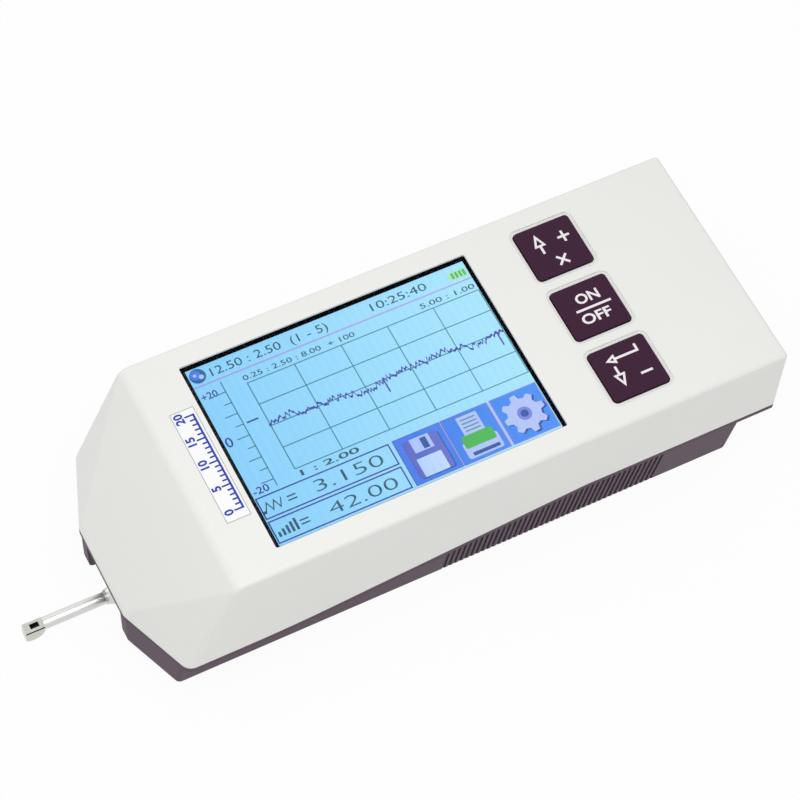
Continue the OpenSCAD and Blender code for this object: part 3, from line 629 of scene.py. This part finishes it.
def pointer(
    x: float, y: float, wide: float, tall: float, line: float, z: float, turn: float
) -> Object:
    """An open triangle whose tip points to the far side before it is turned.

    Args:
        x, y: Middle of its height in millimetres.
        wide: Width of its base.
        tall: Height from base to tip.
        line: Width of its outline.
        z: Height of its underside.
        turn: Turn to the left in degrees.

    Returns:
        The new object.
    """
    clear_bench()
    bpy.ops.mesh.primitive_circle_add(
        vertices=3, radius=1, fill_type="NGON", location=(0, -mm(tall) / 6, 0)
    )
    made = bpy.context.object
    # The triangle in a circle of radius 1 is 1.5 tall and the root of 3 wide
    made.scale = (mm(wide) / math.sqrt(3), mm(tall) / 1.5, 1)
    settle()
    bpy.ops.object.mode_set(mode="EDIT")
    bpy.ops.mesh.select_mode(type="FACE")
    select_all()
    bpy.ops.mesh.inset(thickness=mm(line), depth=0)
    bpy.ops.mesh.delete(type="FACE")
    raise_plate(INK_MM)
    return lay(made, x, y, z, turn)


def frame_lines(
    x0: float, y0: float, x1: float, y1: float, width: float, z: float
) -> list[Object]:
    """Four strokes round a field, with the sizes of plate."""
    half = width / 2
    across = [stroke(x0 - half, y, x1 + half, y, width, z) for y in (y0, y1)]
    return across + [stroke(x, y0 + half, x, y1 - half, width, z) for x in (x0, x1)]


def ribbon(points: list[tuple[float, float]], width: float, z: float) -> Object:
    """A drawn line through points, extruded step by step from its first end.

    Args:
        points: Places of the line in millimetres, from left to right.
        width: Height of the line across its run.
        z: Height of its underside.

    Returns:
        The new object.
    """
    x, y = points[0]
    step = points[1][0] - x
    made = sheet(x - step, y - width / 2, x, y + width / 2, z)
    bpy.ops.mesh.select_mode(type="VERT")
    select_verts(lambda v: v.co.x > mm(x - step / 4))
    for (ax, ay), (bx, by) in zip(points, points[1:]):
        extrude(bx - ax, by - ay, 0)
    raise_plate(INK_MM)
    return made


def lettering(
    body: str, x: float, y: float, cap: float, z: float, anchor: Anchor = Anchor.LEFT,
    width: Optional[float] = None, weight: float = 0.0, turn: float = 0.0,
) -> Object:
    """Numbers or plain words made a mesh and laid flat.

    Args:
        body: Characters.
        x, y: Place of the anchor side on the baseline in millimetres.
        cap: Height of a capital.
        z: Height of its underside.
        anchor: Side that x gives.
        width: Width that the line is fitted to.
        weight: How much each stroke is swollen, in millimetres.
        turn: Turn to the left in degrees.

    Returns:
        The new object.
    """
    clear_bench()
    bpy.ops.object.text_add()
    text = bpy.context.object.data
    text.body = body
    text.size = mm(cap / CAP_SHARE)
    text.offset = mm(weight)
    text.extrude = mm(INK_MM / 2)
    text.resolution_u = 3
    text.align_x = anchor.value
    bpy.ops.object.convert(target="MESH")
    made = bpy.context.object
    if width is not None:
        made.scale = (mm(width) / made.dimensions.x, 1, 1)
    return lay(made, x, y, z + INK_MM / 2, turn)


def weld(name: str, shapes: Iterable[Object], finish: Finish, face: Face) -> None:
    """Joins shapes into one finished piece and lays it on a face.

    Args:
        name: Name of the piece.
        shapes: Objects that become one mesh, drawn from the face's origin.
        finish: Its finish.
        face: Side of the part that carries it.
    """
    listed = list(shapes)
    clear_bench()
    for shape in listed:
        shape.select_set(True)
    bpy.context.view_layer.objects.active = listed[0]
    if len(listed) > 1:
        bpy.ops.object.join()
    bpy.context.object.location = face.origin
    made = settle()
    made.name = made.data.name = name
    made.data.materials.clear()
    made.data.materials.append(finish.material())
    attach(made, face.body.value)
    LOG.info("piece %s: %d faces on %s", name, len(made.data.polygons), face.body.value)


@dataclass
class Case:
    """Every CAD node with its finish, and the white cover with its rounded edges.

    Attributes:
        finishes: Finish of each CAD node.
        shells: Nodes whose rounded edges are shown smooth.
        crease_deg: Angle from which an edge stays sharp.
    """

    finishes: dict[str, Finish] = field(
        default_factory=lambda: {
            node: finish for finish, nodes in FINISH_NODES.items() for node in nodes
        }
    )
    shells: tuple[str, ...] = ("top_cover",)
    crease_deg: float = 26.0

    def dress(self) -> None:
        """Gives every CAD node its finish, and the cover smooth rounded edges."""
        for name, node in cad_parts.items():
            node.data.materials.clear()
            node.data.materials.append(self.finishes[name].material())
            LOG.info("node %s: %s", name, self.finishes[name].name)
        for name in self.shells:
            self.smooth(name)

    def smooth(self, name: str) -> None:
        """Shows a copy of a shell whose facets on rounded edges shade as one curve.

        Args:
            name: Node of the shell.
        """
        clear_bench()
        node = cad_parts[name]
        shell = node.copy()
        shell.data = node.data.copy()
        shell.name = shell.data.name = f"{name}_smooth"
        bpy.context.scene.collection.objects.link(shell)
        shell.parent = None
        shell.select_set(True)
        bpy.context.view_layer.objects.active = shell
        bpy.ops.object.mode_set(mode="EDIT")
        select_all()
        bpy.ops.mesh.remove_doubles(threshold=M_PER_UM)
        flat = math.radians(0.3)
        bpy.ops.mesh.dissolve_limited(angle_limit=flat, use_dissolve_boundaries=False)
        bpy.ops.object.mode_set(mode="OBJECT")
        bpy.ops.object.shade_smooth_by_angle(angle=math.radians(self.crease_deg))
        # Level ledges that are sunk below the top stay flat
        level, sunk = 0.9999, mm(0.1)
        top = max(vert.co.z for vert in shell.data.vertices)
        for face in shell.data.polygons:
            if face.normal.z > level and face.center.z < top - sunk:
                face.use_smooth = False
        apply_modifier(shell, "WEIGHTED_NORMAL", keep_sharp=True)
        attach(shell, Body.CASE.value)
        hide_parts(name)
        LOG.info("piece %s: %d faces", shell.name, len(shell.data.polygons))


@dataclass
class Pickup:
    """Painted shade in the pickup head's slot and a painted dark reflection along its sides, in
    millimetres from the rear end of its top.

    Attributes:
        slot_back: Distance of the slot from the head's rear end.
        slot_l, slot_w: Length and width of the slot.
        slot_deep: Depth down to which the slot carries painted shade.
        slot_rim: Bright rim left at the slot's upper edge.
        reflection_top: Depth of the upper edge of the painted dark reflection on the head's sides.
        reflection_w: Width of that painted dark reflection.
        coat: Thickness of the black sheets that carry the painted shade and the painted
            reflection.
    """

    slot_back: float = 1.0
    slot_l: float = 2.2
    slot_w: float = 1.3
    slot_deep: float = 3.6
    slot_rim: float = 0.05
    reflection_top: float = 0.12
    reflection_w: float = 0.6
    coat: float = 0.02

    def build(self) -> None:
        """Paints shade on the slot's sides and front with black sheets, then a dark reflection
        along the head's two sides.
        """
        low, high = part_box("skid_head")
        face = Face(Vector((high[0], (low[1] + high[1]) / 2, high[2])), Body.TRAVERSE)
        half = self.slot_w / 2 - self.coat
        rear = -self.slot_back - self.coat
        front = -self.slot_back - self.slot_l + self.coat
        open_end = mm((front + rear) / 2 + self.slot_l / 4)
        # Black sheets on the slot's sides and front: painted shade where the slot lies in shadow
        slot_shade_sheet = fence(
            (front, -half, rear, half), -self.slot_deep, self.slot_deep - self.slot_rim,
            self.coat, lambda place: place.x > open_end,
        )
        weld("skid_slot_painted_shade", [slot_shade_sheet], PAINTED_DARK, face)
        # A dark band along the head's two sides under its top edge: painted dark reflection of the
        # edge's rounding
        side = in_mm(high[1] - low[1]) / 2 + self.coat / 2 + PRINT_GAP_MM
        reflection_band = fence(
            (in_mm(low[0] - high[0]), -side, 0.0, side), -self.reflection_top - self.reflection_w,
            self.reflection_w, self.coat, lambda place: abs(place.y) < mm(side) / 2,
        )
        weld("skid_head_painted_reflection", [reflection_band], PAINTED_DARK, face)


@dataclass
class Display:
    """The lit picture behind the touch window, as fields of colour and plain signs.

    Places and sizes are in millimetres, counted from the middle of the picture.

    Attributes:
        sit: How far the picture lies off the panel's middle, across the case.
        left, right, near, far: Sides of the lit field.
        grid_left: Left side of the chart.
        grid_top: Far side of the chart, and place of the scale's first tick.
        column, row: Width and height of a field of the chart.
        columns, rows: Numbers of such fields along and across.
        line: Width of a thin drawn line.
        bold: Width of the header's line and of the boxes.
        mark: Width of an equals sign's lines and of a scratch.
        trace: Width of the drawn profile.
        seed: Seed of the drawn profile.
        scratches: Points of the profile where a deep scratch hangs down.
        deep: Depth of such a scratch.
    """

    sit: float = -0.25
    left: float = -35.4
    right: float = 36.2
    near: float = -24.2
    far: float = 25.1
    grid_left: float = -23.75
    grid_top: float = 16.5
    column: float = 11.95
    row: float = 6.15
    columns: int = 5
    rows: int = 4
    line: float = 0.25
    bold: float = 0.34
    mark: float = 0.36
    trace: float = 0.62
    seed: int = 11
    scratches: tuple[int, ...] = (86, 175)
    deep: float = 3.9

    def __post_init__(self) -> None:
        """Finds the panel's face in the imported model."""
        self.face = Face.above("display_module", Body.CASE, (0.0, self.sit))

    def layer(self, number: int) -> float:
        """Height of a layer of the picture above the panel's face."""
        return PRINT_GAP_MM + number * LAYER_MM

    def show(self, name: str, shapes: Iterable[Object], finish: Finish) -> None:
        """Lays one piece of the picture on the panel."""
        weld(f"screen_{name}", shapes, finish, self.face)

    def build(self) -> None:
        """Builds the whole picture from the back layer to the front."""
        back = plate(self.left, self.near, self.right, self.far, self.layer(0))
        self.show("field", [back], SKY)
        self.header()
        self.scale()
        self.chart()
        self.values()
        self.tiles()

    def header(self) -> None:
        """Title strip with a round sign, numbers and a battery sign over a violet line."""
        z, top, last = (self.layer(i) for i in (1, 2, 3))
        self.show("round_sign", [disc(-33.2, 22.9, z, 1.95)], LIT_DEEP)
        self.show("round_sign_light", [disc(-33.6, 23.3, top, 1.25, 24)], LIT_TILE)
        dots = [disc(-33.8, 23.2, last, 0.42, 16), disc(-32.5, 22.4, last, 0.6, 16)]
        self.show("round_sign_dots", dots, LIT_PALE)
        rule = stroke(self.left, 20.2, self.right, 20.2, self.bold, z)
        self.show("header_line", [rule], LIT_VIOLET)
        title = lettering("12.50 : 2.50  (1 - 5)", -30.9, 21.5, 2.3, z, width=29.6)
        clock = lettering("10:25:40", 25.4, 21.6, 2.2, z, Anchor.RIGHT, 14.4)
        self.show("header_numbers", [title, clock], LIT_INK)
        shell = [plate(31.45, 21.1, 35.85, 23.5, z, 0.4), plate(30.85, 21.8, 31.55, 22.8, z)]
        self.show("battery_sign", shell, LIT_MINT)
        bars = [plate(31.9 + i, 21.5, 32.5 + i, 23.1, top) for i in range(4)]
        self.show("battery_bars", bars, LIT_GREEN)
        y, cap, weight = 17.35, 1.4, 0.01
        small = [
            lettering("0.25 : 2.50 : 8.00  + 100", -24.2, y, cap, z, width=28.4, weight=weight),
            lettering("5.00 : 1.00", 35.7, y, cap, z, Anchor.RIGHT, 14.2, weight),
        ]
        self.show("small_numbers", small, LIT_INK)

    def scale(self) -> None:
        """Level scale at the left of the chart, with its ticks, hand and numbers."""
        z, x, weight = self.layer(1), -29.15, 0.03
        lines = [stroke(x, -10.2, x, 19.4, self.line, z)]
        step, main, lesser = 3.1, 3.1, 1.9
        for i in range(9):
            y = self.grid_top - i * step
            lines.append(stroke(x - (lesser if i % 2 else main), y, x, y, self.line, z))
        self.show("level_scale", lines, LIT_LINE)
        self.show("level_hand", [stroke(x + 0.8, 7.2, x + 3.7, 7.2, 0.42, z)], LIT_NAVY)
        numbers = [
            lettering("+20", -35.0, 16.3, 1.9, z, width=3.9, weight=weight),
            lettering("0", -35.1, 3.0, 2.7, z, weight=weight),
            lettering("-20", -35.0, -10.5, 1.9, z, width=3.9, weight=weight),
        ]
        self.show("level_numbers", numbers, LIT_NAVY)

    def chart(self) -> None:
        """Chart grid and the measured profile that runs along its middle line."""
        z = self.layer(1)
        right = self.grid_left + self.columns * self.column
        low = self.grid_top - self.rows * self.row
        columns = [self.grid_left + i * self.column for i in range(self.columns + 1)]
        rows = [self.grid_top - i * self.row for i in range(self.rows + 1)]
        lines = [stroke(x, low, x, self.grid_top, self.line, z) for x in columns]
        lines += [stroke(self.grid_left, y, right, y, self.line, z) for y in rows]
        self.show("chart_grid", lines, LIT_LINE)
        trace = self.profile(right)
        self.show("profile", [ribbon(trace, self.trace, self.layer(2))], LIT_TRACE)
        starts = [trace[i] for i in self.scratches]
        deep = [stroke(x, y, x, y - self.deep, self.mark, self.layer(3)) for x, y in starts]
        self.show("profile_scratches", deep, LIT_TRACE)

    def profile(self, end: float) -> list[tuple[float, float]]:
        """Points of a rough profile: two slow waves and a fine unevenness.

        Args:
            end: Right end in millimetres.

        Returns:
            Points from left to right.
        """
        chance = random.Random(self.seed)
        middle = self.grid_top - self.rows / 2 * self.row
        steps, grain = 180, 0.85
        points = []
        for i in range(steps + 1):
            t = i / steps
            slow = 0.7 * math.sin(11 * t + 0.4) + 0.45 * math.sin(27 * t)
            height = middle + slow + chance.uniform(-grain, grain)
            points.append((self.grid_left + t * (end - self.grid_left), height))
        return points

    def values(self) -> None:
        """Two boxed result lines, each with a drawn sign and plain numbers."""
        z, cap, weight = self.layer(1), 3.2, -0.05
        left, right, middles = -35.1, -2.05, (-14.2, -20.8)
        boxes = [
            side for near, far in ((-16.9, -11.4), (-23.5, -17.8))
            for side in frame_lines(left, near, right, far, self.bold, z)
        ]
        self.show("value_boxes", boxes, LIT_NAVY)
        start = left + 0.8
        wave = [(start + i * 0.9, middles[0] + (1.1 if i % 2 else -1.1)) for i in range(6)]
        lefts = [start + i * 1.1 for i in range(5)]
        bars = [plate(x, -22.2, x + 0.6, -20.9 + i * 0.45, z) for i, x in enumerate(lefts)]
        heights = [y + d for y in middles for d in (-0.5, 0.5)]
        equals = [stroke(-28.6, y, -26.4, y, self.mark, z) for y in heights]
        numbers = [
            lettering("3.150", -4.4, -15.6, cap, z, Anchor.RIGHT, 17.0, weight),
            lettering("42.00", -4.1, -22.2, cap, z, Anchor.RIGHT, 17.0, weight),
            lettering("1 : 2.00", -24.05, -10.3, 1.5, z, width=14.6, weight=0.03),
        ]
        self.show("value_numbers", numbers + equals + bars + [ribbon(wave, 0.75, z)], LIT_INK)

    def tiles(self) -> None:
        """Three touch tiles with plain signs for storing, printing and settings."""
        back, shade, z, top, last = (self.layer(i) for i in range(1, 6))
        near, far, width, edge = -23.6, -11.2, 11.8, 0.28
        fields = [(x, near, x + width, far) for x in (-0.85, 11.35, 24.05)]
        self.show("tiles", [plate(*tile, back) for tile in fields], LIT_TILE)
        edges = [side for tile in fields for side in frame_lines(*tile, edge, shade)]
        self.show("tile_edges", edges, LIT_SOFT)
        gaps = [
            plate(before[2] + edge / 2, near, after[0] - edge / 2, far, back)
            for before, after in zip(fields, fields[1:])
        ]
        self.show("tile_gaps", gaps, LIT_PALE)
        x, y, radius = 29.95, -17.4, 4.0
        dark = [
            plate(1.0, -22.9, 9.8, -12.9, shade, 0.6), plate(14.4, -22.4, 21.2, -21.5, last, 0.2),
            self.gear(x + 0.4, y - 0.35, radius + 0.05, shade), disc(x, y, last, 0.95, 20),
            plate(5.0, -15.9, 6.5, -13.0, last),
        ]
        self.show("tile_shades", dark, LIT_DEEP)
        self.show("tile_store", [plate(0.7, -22.6, 9.5, -12.5, z, 0.6)], LIT_SOFT)
        pale = [
            plate(2.6, -16.2, 7.4, -12.5, top), plate(14.8, -17.0, 20.0, -12.0, z),
            plate(13.1, -22.9, 22.0, -18.6, z, 0.6), self.gear(x, y, radius, z),
        ]
        self.show("tile_signs", pale, LIT_PALE)
        self.show("tile_label", [plate(2.0, -22.6, 8.2, -17.7, top, 0.2)], LIT_WHITE)
        self.show("tile_hub", [disc(x, y, top, 1.75, 28)], LIT_SOFT)
        lines = [stroke(15.5, -13.0 - i, 19.3, -13.0 - i, 0.3, top) for i in range(4)]
        self.show("tile_lines", lines, LIT_LINE)
        self.show("tile_tray", [plate(13.6, -20.2, 21.4, -16.9, top, 0.5)], LIT_GREEN)

    def gear(self, x: float, y: float, radius: float, z: float) -> Object:
        """A cog sign round a middle in millimetres, with the radius between its teeth."""
        teeth, corners, reach = 8, 6, 1.3
        made = round_sheet(x, y, z, radius, teeth * corners)
        bpy.ops.mesh.select_mode(type="VERT")
        select_verts(lambda v: v.index % corners < corners / 2)
        bpy.ops.transform.resize(
            value=(reach, reach, 1.0), center_override=Vector((mm(x), mm(y), mm(z)))
        )
        raise_plate(INK_MM)
        return made


@dataclass
class KeySigns:
    """White signs printed on the three keys, in millimetres from the middle of each key.

    Attributes:
        cap: Height of the lettering.
        weight: How much its strokes are swollen.
        line: Width of a drawn line.
        outline: Width of an arrow head's outline.
        head_w, head_l: Width and length of an arrow's head.
        stem_l: Length of an arrow's stem.
    """

    cap: float = 2.7
    weight: float = 0.09
    line: float = 0.6
    outline: float = 0.54
    head_w: float = 3.0
    head_l: float = 3.6
    stem_l: float = 2.1

    def draw(self, x0: float, y0: float, x1: float, y1: float) -> Object:
        """A printed line between two places."""
        return stroke(x0, y0, x1, y1, self.line, PRINT_GAP_MM)

    def arrow(self, x: float, y: float, turn: float) -> list[Object]:
        """An arrow with its head round a place, which points far at 0 degrees and near at 180."""
        way = math.cos(math.radians(turn))
        root = y - way * self.head_l / 2
        stem = self.draw(x, root - way * self.stem_l, x, root)
        return [pointer(x, y, self.head_w, self.head_l, self.outline, PRINT_GAP_MM, turn), stem]

    def build(self) -> None:
        """Prints the signs of all three keys."""
        self.up()
        self.power()
        self.enter()

    def up(self) -> None:
        """Arrow to the far side, a plus and a cross for clearing."""
        half = self.line / 2
        x, y, arm = 3.65, 1.85, 1.55
        plus = [
            self.draw(x - arm, y, x + arm, y), self.draw(x, y + half, x, y + arm),
            self.draw(x, y - arm, x, y - half),
        ]
        # The halves of the second slanting line stop at the sides of the first
        x, y, arm, stop = 0.5, -3.9, 1.25, half * 0.7
        cross = [
            self.draw(x - arm, y - arm, x + arm, y + arm),
            self.draw(x - arm, y + arm, x - stop, y + stop),
            self.draw(x + stop, y - stop, x + arm, y - arm),
        ]
        signs = self.arrow(-2.7, 3.1, 0.0) + plus + cross
        weld("sign_key_up", signs, WHITE_INK, Face.above("key_up", Body.UP_KEY))

    def power(self) -> None:
        """ON over OFF, with a bar between."""
        z = PRINT_GAP_MM
        signs = [
            lettering("ON", 0.6, 1.5, self.cap, z, Anchor.CENTRE, 6.0, self.weight),
            self.draw(-3.8, -0.12, 5.3, -0.12),
            lettering("OFF", 0.1, -4.0, self.cap, z, Anchor.CENTRE, 7.6, self.weight),
        ]
        weld("sign_key_power", signs, WHITE_INK, Face.above("key_power", Body.POWER_KEY))

    def enter(self) -> None:
        """Return arrow, arrow to the near side and a minus."""
        y = 3.3
        back = [
            pointer(-3.0, y, 2.6, 2.6, self.outline, PRINT_GAP_MM, 90.0),
            self.draw(-1.7, y, 4.4, y), self.draw(4.1, y + self.line / 2, 4.1, 5.1),
        ]
        signs = self.arrow(-2.9, -2.4, 180.0) + back + [self.draw(1.8, -2.6, 4.9, -2.6)]
        weld("sign_key_enter", signs, WHITE_INK, Face.above("key_enter", Body.ENTER_KEY))


@dataclass
class Label:
    """Narrow paper label in front of the display, with a plain measuring scale.

    Places are in millimetres behind the nose and across from the middle.

    Attributes:
        front, back: Sides towards the nose and the display.
        near, far: Ends.
        thick: Thickness of the paper.
        step: Spacing of the marks.
        marks: Number of steps.
        every: Number of steps from one numbered mark to the next.
        mark_l: Lengths of plain and numbered marks.
    """

    front: float = 24.2
    back: float = 30.15
    near: float = -15.4
    far: float = 15.0
    thick: float = 0.08
    step: float = 1.3
    marks: int = 20
    every: int = 5
    mark_l: tuple[float, float] = (1.1, 1.9)

    def build(self) -> None:
        """Lays the label on the cover's top face and prints its scale."""
        low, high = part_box("top_cover")
        face = Face(Vector((low[0], 0, high[2])), Body.CASE)
        sides = (self.front, self.near, self.back, self.far)
        paper = plate(*sides, PRINT_GAP_MM, 0.2, self.thick)
        weld("front_label", [paper], LABEL_PAPER, face)
        ink = 2 * PRINT_GAP_MM + self.thick
        inset, line = 0.1, 0.14
        inner = [side + way * inset for side, way in zip(sides, (1, 1, -1, -1))]
        weld("front_label_edge", frame_lines(*inner, line, ink), GREY_INK, face)
        weld("front_label_scale", self.scale(ink), BLUE_INK, face)

    def scale(self, z: float) -> list[Object]:
        """Base line, marks and numbers of the scale, with their underside at z."""
        base, width, mark_w = self.back - 0.9, 0.5, 0.42
        start, half = -self.step * self.marks / 2, width / 2
        shapes = [stroke(base, start - half, base, -start + half, width, z)]
        places = [start + i * self.step for i in range(self.marks + 1)]
        for i, y in enumerate(places):
            long = self.mark_l[i % self.every == 0]
            shapes.append(stroke(base - half - long, y, base - half, y, mark_w, z))
        x, cap, weight = base - 2.5, 2.1, 0.09
        for i in range(0, self.marks + 1, self.every):
            number = lettering(str(i), x, places[i], cap, z, Anchor.CENTRE, None, weight, 90.0)
            shapes.append(number)
        return shapes


@dataclass
class Studio:
    """Floor, light and camera of the photograph.

    Attributes:
        focal_px: Focal length in pixels of the photograph.
        eye_mm: Place of the camera.
        right: Direction of the picture's right side.
        down: Direction of the picture's lower side.
        fill: Brightness of the surrounding light.
        boxes: Name of each softbox to its place and size in metres and its power in watts.
        floor_light: Share of plain white in the floor as the camera sees it.
    """

    focal_px: float = 2955.7
    eye_mm: tuple[float, float, float] = (-194.232, -286.850, 626.136)
    right: tuple[float, float, float] = (0.887566, -0.456235, 0.063850)
    down: tuple[float, float, float] = (-0.366356, -0.783053, -0.502604)
    fill: float = 0.65
    boxes: dict[str, tuple[tuple[float, float, float], float, float]] = field(
        default_factory=lambda: {
            "softbox_over_display": ((-0.06, -0.10, 0.38), 0.22, 0.46),
            "softbox_far_side": ((-0.20, 0.55, 0.32), 0.40, 0.40),
        }
    )
    floor_light: float = 0.95

    def build(self) -> None:
        """Sets the view transform, then adds the floor, the lights and the camera."""
        bpy.context.scene.view_settings.view_transform = "Standard"
        self.floor()
        self.lights()
        self.camera()

    def seen(self, tree: NodeTree) -> NodeSocket:
        """A factor of 1 for rays from the camera, a mirror or through glass."""
        path = add_node(tree, "ShaderNodeLightPath")
        factor = path.outputs["Is Camera Ray"]
        for kind in ("Is Glossy Ray", "Is Transmission Ray"):
            links = {0: factor, 1: path.outputs[kind]}
            factor = add_node(tree, "ShaderNodeMath", links=links, operation="MAXIMUM").outputs[0]
        return factor

    def floor(self) -> None:
        """A wide pale floor under the belly, which shows white and keeps a soft shadow."""
        clear_bench()
        width, below = 6.0, mm(0.05)
        bpy.ops.mesh.primitive_plane_add(size=width, location=(0, 0, -below))
        ground = bpy.context.object
        ground.name = "studio_floor"
        made = bpy.data.materials.new("studio_paper_white")
        tree = fresh_tree(made)
        paper = add_node(tree, "ShaderNodeBsdfDiffuse", {"Color": linear("#F4F4F3")})
        glow = add_node(tree, "ShaderNodeEmission", {"Color": WHITE, "Strength": 1.0})
        share = add_node(
            tree, "ShaderNodeMath", {1: self.floor_light}, {0: self.seen(tree)},
            operation="MULTIPLY",
        )
        links = {0: share.outputs[0], 1: paper.outputs[0], 2: glow.outputs[0]}
        mixed = add_node(tree, "ShaderNodeMixShader", links=links)
        add_node(tree, "ShaderNodeOutputMaterial", links={"Surface": mixed.outputs[0]})
        ground.data.materials.append(made)

    def lights(self) -> None:
        """A white surround and two softboxes that look at the part."""
        world = bpy.data.worlds.new("studio_surround")
        bpy.context.scene.world = world
        tree = fresh_tree(world)
        fill, white = (
            add_node(tree, "ShaderNodeBackground", {"Color": WHITE, "Strength": strength})
            for strength in (self.fill, 1.0)
        )
        links = {0: self.seen(tree), 1: fill.outputs[0], 2: white.outputs[0]}
        mixed = add_node(tree, "ShaderNodeMixShader", links=links)
        add_node(tree, "ShaderNodeOutputWorld", links={"Surface": mixed.outputs[0]})
        clear_bench()
        for name, (place, size, watts) in self.boxes.items():
            bpy.ops.object.light_add(type="AREA", location=place)
            lamp = bpy.context.object
            lamp.name = name
            lamp.data.shape = "SQUARE"
            lamp.data.size = size
            lamp.data.energy = watts
            lamp.rotation_euler = Vector(place).to_track_quat("Z", "Y").to_euler()

    def camera(self) -> None:
        """The photograph's camera."""
        across, below = Vector(self.right).normalized(), Vector(self.down).normalized()
        ahead = across.cross(below).normalized()
        below = ahead.cross(across)
        data = bpy.data.cameras.new("photo_camera")
        data.sensor_width = SENSOR_MM
        data.lens = self.focal_px / IMAGE_PX * SENSOR_MM
        data.clip_start = 0.01
        eye = bpy.data.objects.new("photo_camera", data)
        bpy.context.scene.collection.objects.link(eye)
        turn = Matrix((across, -below, -ahead)).transposed().to_4x4()
        eye.matrix_world = Matrix.Translation(Vector(self.eye_mm) * M_PER_MM) @ turn
        bpy.context.scene.camera = eye


def main() -> None:
    """Builds the sub-assemblies in order."""
    logging.basicConfig(level=logging.INFO, format="%(message)s")
    Case().dress()
    Pickup().build()
    Display().build()
    KeySigns().build()
    Label().build()
    Studio().build()
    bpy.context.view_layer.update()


if __name__ == "__main__":
    main()
